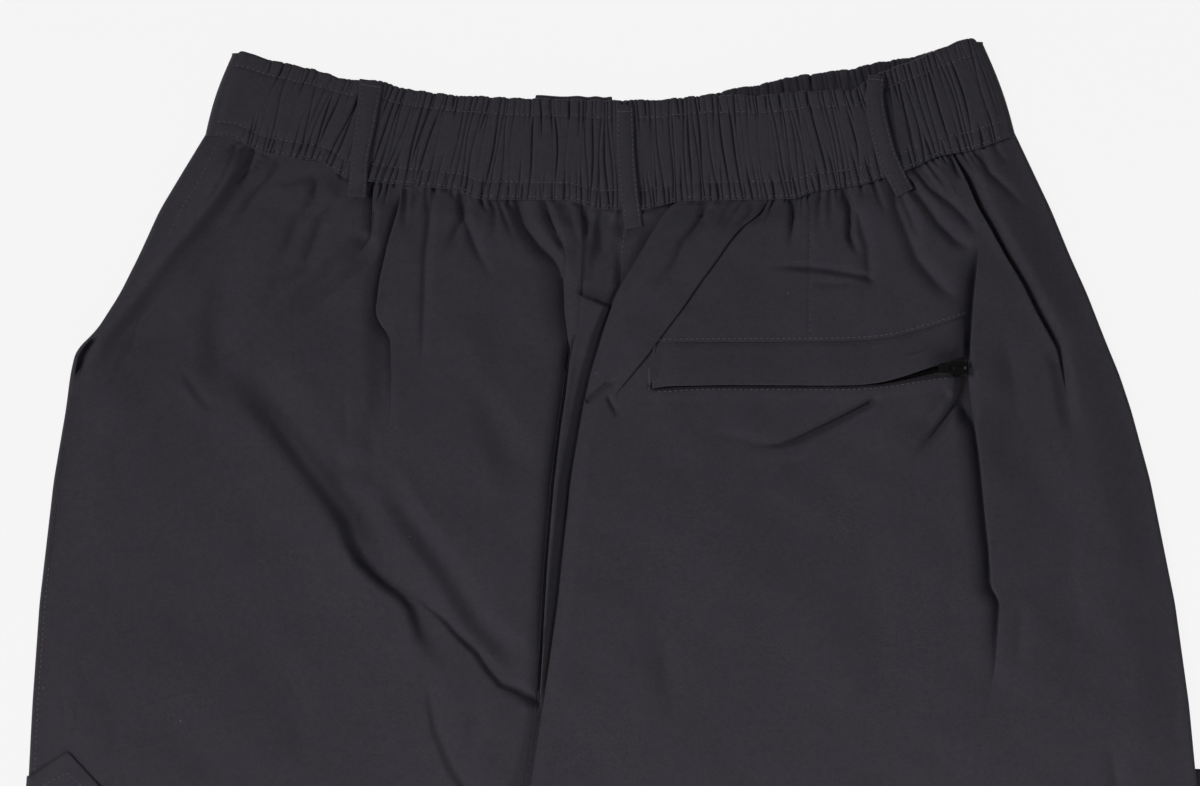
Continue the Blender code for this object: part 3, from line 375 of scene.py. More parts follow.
def undulation(x, down, seed):
    draw = np.random.default_rng(seed)
    rise = np.zeros(np.shape(x))
    for length in np.geomspace(SHORTEST_WAVE, LONGEST_WAVE, WAVES):
        heading, phase = draw.uniform(0.0, math.pi), draw.uniform(0.0, 2.0 * math.pi)
        aside = x * math.sin(heading) - down * math.cos(heading)
        bend = draw.uniform(0.3, 0.9) * np.sin(aside / (1.7 * length))
        travel = (x * math.cos(heading) + down * math.sin(heading)) / length * 2.0 * math.pi
        rise += WAVE_STEEPNESS * length * np.sin(travel + phase + 1.6 * bend)
    return rise


def lift(x, down):
    """Height of the front panels' outer face: 0, or over a thigh pocket."""
    lengthwise = smooth((down - LIFT_FROM) / (LIFT_FULL - LIFT_FROM))
    lengthwise = lengthwise * smooth((LIFT_END - down) / (LIFT_END - LIFT_LAST))
    left = smooth((LIFT_INNER_LEFT + LIFT_SLOPE - x) / LIFT_SLOPE)
    right = smooth((x - LIFT_INNER_RIGHT + LIFT_SLOPE) / LIFT_SLOPE)
    return POCKET_LIFT * lengthwise * np.maximum(left, right)


def loft(x, down):
    """How high the back stands over the level of the outer edges, without its folds."""
    below_seam = smooth((down - band_seam(x)) / HIP_REACH)
    hip = LOFT_SEAM + (LOFT_HIP - LOFT_SEAM) * below_seam
    thigh = hip + (LOFT_CROTCH - LOFT_HIP) * smooth((down - 200.0) / (CROTCH_DOWN - 200.0))
    return thigh + (LOFT_HEM - LOFT_CROTCH) * smooth((down - CROTCH_DOWN) / (HEM_DOWN - CROTCH_DOWN))


# ---------------------------------------------------------------- gathers

# Each gather is a narrow valley that crosses the waistband and goes on a little into the panel.
GATHERS = 158
SMOOTH_ENDS = (0.042, 0.990)        # shares of the band between which it is gathered
draw = np.random.default_rng(41)
Gather = namedtuple("Gather", "place drift wobble phase top middle low upper lower run bias")
LEFT_LEAN = 0.019           # how far, as a share of the band, the gathers of its left part lean over
gathers = [Gather(
    place=(number + 0.5 + draw.uniform(-0.3, 0.3)) / GATHERS,
    drift=draw.normal(0.0, 0.0045),
    wobble=draw.uniform(0.0003, 0.0022),
    phase=draw.uniform(0.0, 6.28),
    top=draw.uniform(0.2, 0.9),
    middle=draw.choice([0.0, 0.15, 0.5, 0.95], p=[0.4, 0.22, 0.2, 0.18]),
    low=draw.uniform(0.4, 1.0),
    upper=draw.uniform(0.16, 0.42),
    lower=draw.uniform(0.5, 0.84),
    run=draw.choice([3.0, 7.0, 14.0, 26.0], p=[0.35, 0.27, 0.22, 0.16]),
    bias=draw.uniform(-0.6, 0.6),
) for number in range(GATHERS)]


def gather_strength(gather, depth):
    depths = (0.0, 0.5 * gather.upper, gather.upper, gather.lower, 0.5 + 0.5 * gather.lower, 1.0)
    return np.interp(depth, depths, np.repeat((gather.top, gather.middle, gather.low), 2))


def gather_share(gather, depth):
    sway = gather.wobble * np.sin(gather.phase + 6.0 * depth)
    lean = LEFT_LEAN * smooth(gather.place / 0.15) * (1.0 - smooth((gather.place - 0.28) / 0.18))
    return gather.place + (gather.drift - lean) * (depth - 0.5) + sway


DEEPEST_GATHER = 3.0
END_EASE = 0.012            # share of the band over which the gathers start and end


def gathered(share, depth, width=SEAM_WIDTH):
    """Height that the gathers take from the band at shares of its width and of its depth."""
    ends = smooth((share - SMOOTH_ENDS[0]) / END_EASE) * smooth((SMOOTH_ENDS[1] - share) / END_EASE)
    fall = np.zeros(np.shape(share))
    for gather in gathers:
        away = np.abs(share - gather_share(gather, depth)) * width
        firm = gather_strength(gather, depth)
        fall += firm * (1.55 * np.exp(-away / 0.34) + 0.22 * firm * np.exp(-(away / 0.85) ** 2))
    return -np.minimum(fall, DEEPEST_GATHER) * ends


Lean = namedtuple("Lean", "x run")
LEANS = [Lean(*row) for row in [     # how far the pleats below the waistband run to the right as they go down
    (-200, -0.7), (-190, -0.9), (-150, -0.8), (-115, -0.3), (-85, 0.05), (-60, 0.4), (-20, 0.35),
    (0, -0.05), (20, -0.4), (45, -0.7), (80, -0.6), (98, -0.1), (125, 0.1), (150, 0.6), (190, 0.55),
    (208, 0.45),
]]


def puckers(x, down):
    """Height that the gathers' runs take from a panel below the waistband seam: short pleats."""
    below = down - band_seam(x)
    fall = np.zeros(np.shape(x))
    near = below < 28.0
    px, pb = x[near], np.maximum(below[near], 0.0)
    add = np.zeros(px.shape)
    for gather in gathers:
        if SMOOTH_ENDS[0] < gather.place < SMOOTH_ENDS[1]:
            line = across(BAND_SEAM, gather_share(gather, 1.0))
            side = px - line - read(LEANS, "x", "run", line) * pb
            reach = (1.6 + 0.15 * pb) * (1.0 + gather.bias * np.sign(side))
            firm = (0.5 + 0.5 * gather.low) * (1.0 - smooth(pb / gather.run))
            add += firm * fall_off(np.abs(side) / reach, True)
    fall[near] = add
    return -2.6 * np.minimum(fall, 1.1)


# ---------------------------------------------------------------- meshes

slider_low, slider_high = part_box("zip_slider")
PLACE_X = (slider_low[0] + slider_high[0]) / 2.0 - SLIDER_X * MM
PLACE_Y = (slider_low[1] + slider_high[1]) / 2.0 + SLIDER_DOWN * MM


def to_frame(points):
    """(x, down, height) in millimetres to the frame's metres."""
    return np.asarray(points, float) * (MM, -MM, MM) + (PLACE_X, PLACE_Y, 0.0)


def add_object(name, data):
    thing = bpy.data.objects.new(name, data)
    bpy.context.scene.collection.objects.link(thing)
    return thing


def add_mesh(name, points, faces, material, slot):
    """A piece of the trousers from its points in millimetres."""
    mesh = bpy.data.meshes.new(name)
    mesh.from_pydata(to_frame(points).tolist(), [], faces)
    mesh.shade_smooth()
    mesh.materials.append(material)
    piece = add_object(name, mesh)
    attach(piece, BODY)
    return piece


def grid_faces(rows, columns):
    first = (np.arange(rows - 1)[:, None] * columns + np.arange(columns - 1)[None, :]).ravel()
    return stacked(first, first + columns, first + columns + 1, first + 1)


def dress(name, node, points, material, slot="cloth"):
    """A shell through points[row, column], whose rows run down the garment, in a node's place."""
    faces = grid_faces(*points.shape[:2]).tolist()
    add_mesh(name, points.reshape(-1, 3), faces, material, slot)
    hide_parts(node)


def surface_of(*grids):
    """Search tree of some grids of points, in millimetres with down as -y."""
    corners, faces = [], []
    for points in grids:
        faces.extend((grid_faces(*points.shape[:2]) + len(corners)).tolist())
        corners.extend((points.reshape(-1, 3) * (1.0, -1.0, 1.0)).tolist())
    return BVHTree.FromPolygons(corners, faces)


def height_on(surface, x, down, otherwise=0.0):
    hit = surface.ray_cast(Vector((x, -down, 100.0)), Vector((0.0, 0.0, -1.0)))[0]
    return otherwise if hit is None else hit.z


def heights_on(surface, xs, downs):
    return np.array([height_on(surface, x, down) for x, down in zip(xs, downs)])


# ---------------------------------------------------------------- materials


class Nodes:
    """Adds and joins the shader nodes of one material."""

    def __init__(self, name):
        self.material = bpy.data.materials.new(name)
        self.material.use_nodes = True
        self.tree = self.material.node_tree
        self.shader = self.tree.nodes["Principled BSDF"]
        self.place = self.add("ShaderNodeTexCoord", "Object", {})

    def give(self, node, inputs):
        """Joins each input of a node to the socket given for it, or sets it to the value given."""
        for key, given in inputs.items():
            socket = node.inputs[key]
            if isinstance(given, bpy.types.NodeSocket):
                self.tree.links.new(given, socket)
            elif socket.type == "RGBA":
                socket.default_value = (*given, 1.0)
            else:
                socket.default_value = given

    def add(self, kind, output, inputs, **settings):
        """Adds a node with its inputs and settings, and gives one of its outputs."""
        node = self.tree.nodes.new(kind)
        for key, value in settings.items():
            setattr(node, key, value)
        self.give(node, inputs)
        return node.outputs[output]

    def noise(self, scale, detail=2.0, stretch=None, roughness=0.5):
        place = self.place
        if stretch:
            place = self.add("ShaderNodeMapping", "Vector", {"Vector": place, "Scale": stretch})
        inputs = {"Vector": place, "Scale": scale, "Detail": detail, "Roughness": roughness}
        return self.add("ShaderNodeTexNoise", "Fac", inputs)

    def spread(self, value, low, high, to_low=0.0, to_high=1.0):
        inputs = {"Value": value, "From Min": low, "From Max": high, "To Min": to_low, "To Max": to_high}
        return self.add("ShaderNodeMapRange", "Result", inputs)

    def mix(self, share, first, second):
        return self.add("ShaderNodeMix", 2, {0: share, 6: first, 7: second}, data_type="RGBA")

    def waves(self, direction, scale, distortion):
        inputs = {"Vector": self.place, "Scale": scale, "Distortion": distortion, "Detail": 1.0}
        return self.add("ShaderNodeTexWave", "Fac", inputs, wave_type="BANDS", bands_direction=direction)

    def math(self, operation, first, second):
        return self.add("ShaderNodeMath", 0, {0: first, 1: second}, operation=operation)

    def bump(self, height, distance, share):
        inputs = {"Strength": share, "Distance": distance, "Height": height}
        self.give(self.shader, {"Normal": self.add("ShaderNodeBump", "Normal", inputs)})


WAVE_OF_1_MM = 314.0        # wave texture scale that gives a period of 1 mm
THREAD_PITCH, TWIST_PITCH, RIB_PITCH = 0.42, 0.3, 0.6      # of the cloth, the sewing thread and the tape, mm


def cloth_material(name, colour, lint=True):
    """Dark plain-woven nylon: fine threads, a mottled melange, faint lint and a soft sheen."""
    nodes = Nodes(name)
    noise, spread, light = nodes.noise, nodes.spread, 1.22 * colour
    mottle = spread(noise(760.0, 3.0, (1.0, 1.35, 1.0), 0.7), 0.33, 0.67)
    base = nodes.mix(mottle, 0.80 * colour, light)
    warm = spread(noise(420.0, 3.0, roughness=0.6), 0.52, 0.72, 0.0, 0.6)
    base = nodes.mix(warm, base, colour * (1.34, 0.97, 1.04))
    cool = spread(noise(90.0, 3.0), 0.45, 0.65, 0.0, 0.4)
    base = nodes.mix(cool, base, colour * (0.92, 0.99, 1.10))
    base = nodes.mix(spread(noise(14.0, 2.0), 0.3, 0.7, 0.0, 0.16), base, light)
    if lint:
        specks = nodes.add("ShaderNodeTexVoronoi", "Distance", {"Vector": nodes.place, "Scale": 42.0})
        base = nodes.mix(spread(specks, 0.013, 0.024, 0.75, 0.0), base, 3.4 * colour)
    nodes.give(nodes.shader, {
        "Base Color": base, "Roughness": spread(noise(300.0, 2.0), 0.3, 0.7, 0.62, 0.8),
        "Specular IOR Level": 0.22, "Sheen Weight": 0.10, "Sheen Roughness": 0.45,
        "Sheen Tint": (0.75, 0.74, 0.80),
    })
    warp, weft = (nodes.waves(axis, WAVE_OF_1_MM / THREAD_PITCH, 0.6) for axis in "XY")
    threads = nodes.math("ADD", warp, weft)
    crinkle = nodes.math("MULTIPLY", noise(120.0, 3.0), 2.2)
    nodes.bump(nodes.math("ADD", threads, crinkle), 0.00012, 0.55)
    return nodes.material


def thread_material():
    nodes = Nodes("thread")
    base = nodes.mix(nodes.noise(1500.0, 2.0), (0.038, 0.036, 0.042), (0.085, 0.081, 0.092))
    nodes.give(nodes.shader, {"Base Color": base, "Roughness": 0.55, "Sheen Weight": 0.2})
    nodes.bump(nodes.waves("X", WAVE_OF_1_MM / TWIST_PITCH, 0.5), 0.00006, 0.5)
    return nodes.material


def metal_material():
    nodes = Nodes("zip_enamel")
    wear = nodes.spread(nodes.noise(380.0, 3.0), 0.58, 0.7, 0.0, 0.5)
    base = nodes.mix(wear, (0.0015, 0.0015, 0.0017), (0.004, 0.004, 0.0044))
    rough = nodes.spread(nodes.noise(600.0, 2.0), 0.3, 0.7, 0.08, 0.16)
    nodes.give(nodes.shader, {"Base Color": base, "Roughness": rough, "Specular IOR Level": 0.55})
    nodes.bump(nodes.noise(900.0, 2.0), 0.00004, 0.3)
    return nodes.material


def tape_material():
    nodes = Nodes("zip_tape_weave")
    ribs = nodes.waves("X", WAVE_OF_1_MM / RIB_PITCH, 0.2)
    base = nodes.mix(ribs, (0.014, 0.013, 0.016), (0.026, 0.024, 0.029))
    nodes.give(nodes.shader, {"Base Color": base, "Roughness": 0.85})
    nodes.bump(ribs, 0.0002, 0.6)
    return nodes.material


CLOTH_COLOUR = np.array((0.0296, 0.0267, 0.0344))
cloth = cloth_material("nylon_cloth", CLOTH_COLOUR)
band_cloth = cloth_material("nylon_waistband", 0.98 * CLOTH_COLOUR, lint=False)
thread = thread_material()
enamel = metal_material()
tape_cloth = tape_material()

# ---------------------------------------------------------------- panels

# A guide is a line down a panel that a column of its grid follows. `columns` is the number of
# columns from it to the next guide. A guide may carry a crease or an overlapping fold: over is
# 1 where the right side lies over the left, -1 the other way and 0 for a crease; tuck is how far
# the lower side goes on underneath. left and right are heights added at the line.
Guide = namedtuple("Guide", "line columns over tuck left left_reach right right_reach start full fade end")



def plain(line, columns):
    return Guide(line, columns, 0, 0.0, 0.0, 1.0, 0.0, 1.0, 0.0, 1.0, 2.0, 3.0)


def guide_strength(guide, down):
    return strength(down, guide.start, guide.full, guide.fade, guide.end)


# Turn of an overlapping fold from its lower side to its upper side: place as a share of the tuck,
# place past the line, and height as a share of the way up
Turn = namedtuple("Turn", "tuck past height")
TURNS = [Turn(1.0, 0.0, 0.04), Turn(1.0, 0.3, 0.35), Turn(0.9, 0.0, 0.66), Turn(0.0, 0.25, 0.74),
         Turn(0.0, -0.3, 0.9)]
HALF_GAP = 0.3              # the columns beside a guide are this far from it
SEAM_OVERLAP = 1.0          # a panel's upper edge reaches this far up under the waistband
LEAST_RISE = 0.9            # a back panel stays at least this far above the front's outer face
SEAT_ROWS, LEG_ROWS = 312, 62


def panel_rows(rows, leg_rows):
    """Shares of the way from the seam to the crotch, and the distances down below it."""
    seat = np.linspace(0.0, 1.0, rows + 1) ** 1.22
    leg = CROTCH_DOWN + (HEM_DOWN - CROTCH_DOWN) * np.linspace(0.0, 1.0, leg_rows + 1)[1:]
    return seat, leg


def column_downs(line, seat, leg):
    """Distances down a column, the first on the waistband seam."""
    top = 90.0
    for _ in range(30):
        top = 0.5 * (top + float(band_seam(line(top))))
    top -= SEAM_OVERLAP
    return np.concatenate([top + seat * (CROTCH_DOWN - top), leg])


def guided_panel(guides, height):
    """Grid of a panel from its guides and its height function, folds included."""
    seat, leg = panel_rows(SEAT_ROWS, LEG_ROWS)
    xs, downs, owners, turned = [], [], [], {}

    def add_column(line, owner, offset=0.0):
        downs.append(column_downs(line, seat, leg))
        xs.append(line(downs[-1]) + offset)
        owners.append(owner)

    for number, (guide, following) in enumerate(zip(guides, guides[1:] + guides[-1:])):
        if guide.left or guide.right:
            add_column(guide.line, number - 0.5, -HALF_GAP)
            if guide.over:
                turned[len(xs) - 1] = guide
            add_column(guide.line, number + 0.5, HALF_GAP)
        else:
            add_column(guide.line, number + 0.5)
        for share in np.arange(1, guide.columns) / guide.columns:
            add_column(lambda down: guide.line(down) * (1.0 - share) + following.line(down) * share,
                       number + 0.5)
    x, down, owner = np.array(xs).T, np.array(downs).T, np.array(owners)
    z = height(x, down)
    for number, guide in enumerate(guides):
        away = np.abs(x - guide.line(down))
        for side, rise, reach in ((owner < number, guide.left, guide.left_reach),
                                  (owner > number, guide.right, guide.right_reach)):
            if rise:
                z += side * rise * fall_off(away / reach, rise < 0) * guide_strength(guide, down)
    z = np.maximum(z, lift(x, down) + LEAST_RISE)
    columns = []
    for index in range(x.shape[1]):
        at = down[:, index]
        columns.append(stacked(x[:, index], at, z[:, index]))
        if index in turned:
            guide = turned[index]
            line, firm = guide.line(at), guide_strength(guide, at)
            low, high = (z[:, index], z[:, index + 1])[::guide.over]
            for order, turn in enumerate(TURNS[::guide.over]):
                flat = HALF_GAP * ((order + 1) / 3.0 - 1.0)
                folded = guide.over * (turn.tuck * guide.tuck + turn.past)
                columns.append(stacked(line + flat + (folded - flat) * firm, at,
                                       low + (high - low) * turn.height))
    return np.stack(columns, axis=1)


def hem_turned(points, inward=-1.0):
    """Adds the hem, where the cloth turns and goes back up inside: below the back, above the front."""
    turned = [points]
    for past, inside in ((0.5, 0.3), (0.5, 1.1), (0.0, 1.4), (-8.0, 1.5), (-22.0, 1.5)):
        row = points[-1:] + (0.0, past, 0.0)
        row[..., 2] = np.maximum(row[..., 2] + inside * inward, 0.0)
        turned.append(row)
    return np.concatenate(turned)


def back_height(x, down, creases, seed):
    """Outer face of the back of the garment, between its two outer edges."""
    inside = np.minimum(x - section("outer_left", down), section("outer_right", down) - x) - EDGE_RADIUS
    height = loft(x, down) + undulation(x, down, seed) * smooth((down - band_seam(x)) / 30.0)
    for crease in creases:
        height += CREASE_SHARE * crease_rise(crease, x, down)
    height += puckers(x, down)
    height = np.maximum(height, DEEPEST + 0.1 * (height - DEEPEST))
    return lift(x, down) + EDGE_HEIGHT + height * smooth(inside / EDGE_SOFT)


def fold_edge(down):
    return section("fold_edge", down)


def seat_seam(down):
    return section("seat_seam", down)


def under_fold(down):
    """Where the left panel has come down to pass under the centre fold."""
    return np.minimum(fold_edge(down) - 0.6, seat_seam(down) - 1.5)


STRIP_ONE_LEFT = [(-27.5, 101), (-24.5, 111.5), (-18.5, 122.5), (-16.5, 128), (-17.5, 140), (-17, 156.5),
    (-15, 171)]
STRIP_ONE_RIGHT = [(-9.5, 101), (-9.3, 140), (-9.2, 149), (-10, 160.5), (-13.5, 173), (-15, 181),
    (-17, 198), (-19.5, 215), (-22.5, 240), (-24, 256.5), (-26, 281), (-27.5, 306), (-28.5, 326),
    (-30, 350)]
VALLEY = [(-41, 101), (-37.5, 113), (-29, 124), (-21, 131), (-18.7, 140), (-18.2, 156), (-16.2, 172)]
LEDGE_LEFT, LEDGE_RIGHT = (-8.5, 148.0), (5.5, 153.5)       # top end of the second strip
STRIP_END = 352.0
STRIP_RISE, RECESS_DROP, VALLEY_DROP = 1.3, 1.7, 5.1


def side_seam(down):
    return section("outer_left", down) + section("strip", down) + 0.3


CREST = [(-181, 72), (-185, 82), (-188.5, 89), (-192.5, 97), (-198.5, 105), (-206, 114), (-212, 121),
    (-221, 131.5), (-228.5, 141.5), (-235, 151), (-242, 159), (-247.5, 166), (-252, 172.5), (-255, 179),
    (-258, 186), (-262, 200), (-270, 302), (-276, 393), (-279, 480), (-260, 800), (-250, 1040)]
HOLLOW = [(-169, 72), (-171.7, 77.5), (-175, 87), (-185, 97.5), (-190, 106.5), (-196.5, 115),
    (-203.5, 122.5), (-210, 131.5), (-218.5, 142.5), (-226.5, 152.5), (-232.5, 162.5), (-238.5, 172.5),
    (-244, 184), (-251, 194), (-257, 215), (-266, 302), (-272, 393), (-275, 480), (-256, 800), (-246, 1040)]
HOLLOW_EDGE = [(-146, 74), (-153.5, 82.5), (-165, 93.5), (-172, 101), (-182.5, 114), (-193.5, 126.5),
    (-203.5, 138.5), (-213.5, 149), (-224, 161), (-231.5, 170), (-237, 177.5), (-243, 188), (-248, 198),
    (-252, 215), (-256, 302), (-262, 393), (-266, 480), (-247, 800), (-236, 1040)]
HOLLOW_DROP = 5.6
CREST_RISE = 4.2
CREST_REACH_WEST, CREST_REACH_EAST = 10.0, 7.0      # over which the ridge falls off to each side


def kept_off(path, other, gap, reach=2.0):
    """A path that stays at least `gap` to the right of another line, or -gap to the left of it."""
    keep = np.maximum if gap > 0.0 else np.minimum
    return lambda down: keep(on_path(path, down, reach), other(down) + gap)


strip_two = kept_off(STRIP_ONE_RIGHT, under_fold, -1.5)
strip_one = kept_off(STRIP_ONE_LEFT, strip_two, -0.8)
valley = kept_off(VALLEY, strip_one, -1.2, 3.0)
crest = kept_off(CREST, side_seam, 1.0)
hollow = kept_off(HOLLOW, crest, 1.5)
hollow_edge = kept_off(HOLLOW_EDGE, hollow, 1.5)


def side_hollow(x, down):
    """A rounded ridge beside the side seam, then a hollow that falls on to its crisp far edge."""
    west, deepest, east = crest(down), hollow(down), hollow_edge(down)
    past = x - west
    top = past - 1.2
    ridge = CREST_RISE * np.where(top < 0.0, np.exp(-np.abs(top) / CREST_REACH_WEST),
                                  np.exp(-(top / CREST_REACH_EAST) ** 2))
    first = smooth((past - 0.8) / (deepest - west + 0.5))
    second = np.clip((x - deepest) / (east - deepest), 0.0, 1.0)
    upper = 0.3 * np.exp(-((second - 0.5) / 0.22) ** 2) * smooth((116.0 - down) / 16.0)
    floor = (0.58 * first + 0.42 * second - upper) * (1.0 - 0.12 * smooth((x - east) / 1.4))
    floor = floor * (1.0 - smooth((x - east) / 42.0))
    return (ridge - HOLLOW_DROP * floor) * strength(down, 68.0, 92.0, 158.0, 208.0)


DEEP_FOLD = [(-113, 91), (-114, 118), (-120, 126), (-133.5, 140), (-145.5, 149), (-156, 160), (-164, 200),
    (-170, 300), (-176, 393), (-180, 480), (-175, 800), (-172, 1040)]
KINKED_FOLD = [(-99, 92), (-100.5, 104), (-105.5, 120.5), (-110, 140), (-112, 157), (-109.5, 162),
    (-104.5, 168.5), (-104, 187.5), (-105, 210), (-107, 240), (-114, 300), (-128, 393), (-134, 480),
    (-136, 800), (-138, 1040)]
DART_LINE = [(-83, 94), (-87, 128), (-87.5, 149), (-88.5, 174), (-90, 186), (-96, 300), (-110, 393),
    (-114, 480), (-118, 800), (-120, 1040)]


LEFT_GUIDES = [             # from the side seam to the centre fold
    plain(side_seam, 6),
    plain(crest, 12),
    plain(hollow, 12),
    plain(hollow_edge, 40),
    Guide(along(DEEP_FOLD), 42, 1, 1.4, -3.6, 7.0, -1.2, 4.0, 84.0, 94.0, 112.0, 132.0),
    Guide(along(KINKED_FOLD), 14, 1, 0.9, -3.9, 10.0, 0.3, 3.0, 94.0, 106.0, 166.0, 220.0),
    Guide(along(DART_LINE), 46, 0, 0.0, -2.4, 4.0, -2.0, 5.0, 86.0, 98.0, 150.0, 194.0),
    Guide(valley, 6, 0, 0.0, -VALLEY_DROP, 13.0, -VALLEY_DROP, 7.0, 92.0, 104.0, 150.0, 190.0),
    Guide(strip_one, 9, 1, 1.6, -1.2, 6.0, 0.6, 5.0, 118.0, 130.0, 168.0, 178.0),
    Guide(strip_two, 16, 1, 1.8, -5.6, 9.5, 0.8, 4.0, 166.0, 176.0, 346.0, 356.0),
    plain(under_fold, 3),
    plain(seat_seam, 0),
]


def left_height(x, down):
    """Back height on the left panel: its strips beside the centre fold, and the dip under it."""
    low = lift(x, down) + LOWEST_BACK
    past = x - strip_two(down)
    (ledge_x, ledge_down), (end_x, end_down) = LEDGE_LEFT, LEDGE_RIGHT
    ledge = ledge_down + (x - ledge_x) * (end_down - ledge_down) / (end_x - ledge_x)
    past_strip = smooth((past + 0.1) / (0.7 + 2.2 * smooth((142.0 - down) / 25.0)))
    above_ledge = smooth((ledge - down + 0.5) / 0.9)
    tilt = 1.2 + RECESS_DROP * np.clip(past / 20.0, 0.0, 1.0)
    recess = past_strip * above_ledge * smooth((down - band_seam(x)) / 8.0) * tilt
    on_second = past_strip * (1.0 - above_ledge) * smooth((STRIP_END + 14.0 - down) / 30.0)
    groove = np.exp(-np.abs(past) / 1.2) * smooth((down - 138.0) / 8.0) * above_ledge
    past_seam = x - side_seam(down)
    rim = np.exp(-np.abs(past_seam) / 2.0) * (past_seam > 0.0) * strength(down, 165.0, 195.0, 275.0, 310.0)
    height = back_height(x, down, LEFT_CREASES, 5) + side_hollow(x, down)
    height += STRIP_RISE * on_second + RIM_RISE * rim - recess - 2.0 * groove
    beside_fold = 4.2 + 2.0 * smooth((down - 150.0) / 20.0) + np.maximum(down - 340.0, 0.0) / 10.0
    dip_share = np.maximum(smooth((under_fold(down) - x + 0.4) / beside_fold),
                           smooth((fold_edge(down) - seat_seam(down) - 2.0) / 9.0))
    return low + (np.maximum(height, low) - low) * dip_share


def below_crotch(down):
    return smooth((down - CROTCH_DOWN) / 18.0)


def right_seam(down):
    """Right panel's seat seam, and below the crotch its inseam."""
    seat, inseam = seat_seam(down) + 0.3, fold_edge(down) + LEG_SEAM_INSET
    return seat + (inseam - seat) * below_crotch(down)


DART_X = 105.0
SEAT_FOLD = [(86, 97), (80, 106.5), (70, 114), (64.5, 120.5), (58, 130), (49.5, 141.5), (41, 154),
    (33, 164.5), (28.5, 170.5), (24, 177), (16.5, 186), (8, 197), (6, 215), (2, 240), (-2, 302), (-6, 352),
    (-8, 425), (30, 480), (60, 600), (85, 800), (100, 1040)]
UPRIGHT_FOLD = [(166, 76), (180, 100), (189, 119), (189.5, 124), (188.5, 134), (187, 148), (186, 160),
    (185, 176), (184.5, 190), (186, 203), (189.5, 226.5), (193, 262), (194.5, 275), (195.5, 294),
    (200, 300), (197.5, 332), (194.5, 350), (196, 425), (196, 480), (196, 1040)]
HIP_FOLD = [(174, 70), (177, 78), (182.5, 89), (188.5, 103), (195, 114), (202.5, 128), (210.5, 141),
    (217, 154), (228.5, 174.5), (231, 185), (234.5, 203), (236, 215), (240, 300), (244, 425), (244, 480),
    (236, 1040)]
# Welt pocket: its sewn upper edge and its free lower edge, and the lip of the panel below them
Welt = namedtuple("Welt", "x sewn free")
WELTS = [Welt(*row) for row in [
    (26, 172.5, 194.1), (33, 171.7, 192.7), (64, 171.5, 192.1), (115, 171.2, 192.4), (130, 170.8, 192.2),
    (142, 169.8, 190.6), (155, 166.9, 186.8), (169, 162.8, 181.8), (182.5, 158.5, 177.8),
]]
LIP = [(26.5, 194.8), (51, 193.4), (91, 193.5), (126, 193.6), (143, 192.4), (155, 190.4), (169, 188.3),
    (184, 187.2)]
MOUTH_START, MOUTH_END = WELTS[0].x, 184.0
MOUTH_DROP, LIP_RISE, SEAM_DROP = 4.4, 0.8, 0.5     # of the panel in the mouth, at its lip and at its seam
DART_DROP, DART_END = 0.5, 170.0
WELT_GAPE = 1.3             # how far the welt's edge rises over the slider


def welt_edge(wanted, x):
    return read(WELTS, "x", wanted, x, 4.0)


def lip_edge(x):
    return interpolate(x, *zip(*LIP), 4.0)


FOLD_CREASES = [            # small creases at the centre fold's edge
    trough([(-7, 200.5), (-2, 196.5), (3, 192), (9, 189.5)], 2.3, 2.2, 0.02, 0.3),
    trough([(3.5, 196.5), (5.6, 201.5), (9, 207), (10, 213)], 1.5, 2.2, 0.2, 0.5),
]


def right_height(x, down):
    """Back height on the right panel's top layer, which starts at the centre fold's edge."""
    height = back_height(x, down, RIGHT_CREASES, 11)
    inside = smooth((x - MOUTH_START + 1.0) / 2.0) * smooth((MOUTH_END + 2.0 - x) / 3.0)
    lip = lip_edge(x)
    gap = smooth((down - welt_edge("free", x) + 4.0) / 2.0) * smooth((lip - down) / 0.8)
    seam = np.exp(-((down - welt_edge("sewn", x)) / 0.7) ** 2)
    mouth_lip = smooth((down - lip) / 0.8) * (1.0 - smooth((down - lip - 2.0) / 6.0))
    height += inside * (LIP_RISE * mouth_lip - MOUTH_DROP * gap - SEAM_DROP * seam)
    height -= DART_DROP * np.exp(-(np.abs(x - DART_X) / 0.7) ** 1.5) * smooth((DART_END - down) / 3.0)
    low = LOWEST_BACK + 2.4
    height = low + (height - low) * smooth((x - fold_edge(down) + 1.2) / FOLD_DIP)
    return height + sum(crease_rise(crease, x, down) for crease in FOLD_CREASES)


seat_fold = kept_off(SEAT_FOLD, fold_edge, 3.0, 3.0)
RIGHT_GUIDES = [            # from the centre fold to the outer edge
    plain(fold_edge, 30),
    Guide(seat_fold, 44, -1, 2.2, 0.4, 12.0, -1.4, 7.0, 96.0, 104.0, 186.0, 201.0),
    plain(lambda down: DART_X + 0.0 * down, 72),
    Guide(along(UPRIGHT_FOLD), 30, 1, 2.2, -6.4, 12.0, 2.2, 34.0, 118.0, 142.0, 290.0, 356.0),
    Guide(along(HIP_FOLD), 38, -1, 2.0, 0.4, 6.0, -6.4, 11.0, 66.0, 90.0, 160.0, 200.0),
    plain(lambda down: section("outer_right", down) - EDGE_RADIUS, 0),
]


def edge_turn(side, angles, down):
    """Columns round a leg's outer edge; an angle is 90 on top and -90 below."""
    outline = section("outer_left" if side < 0 else "outer_right", down)
    columns = []
    for turn in np.radians(angles):
        x = outline - side * EDGE_RADIUS * (1.0 - np.cos(turn))
        columns.append(stacked(x, down, lift(x, down) + EDGE_RADIUS * (1.0 + np.sin(turn))))
    return columns


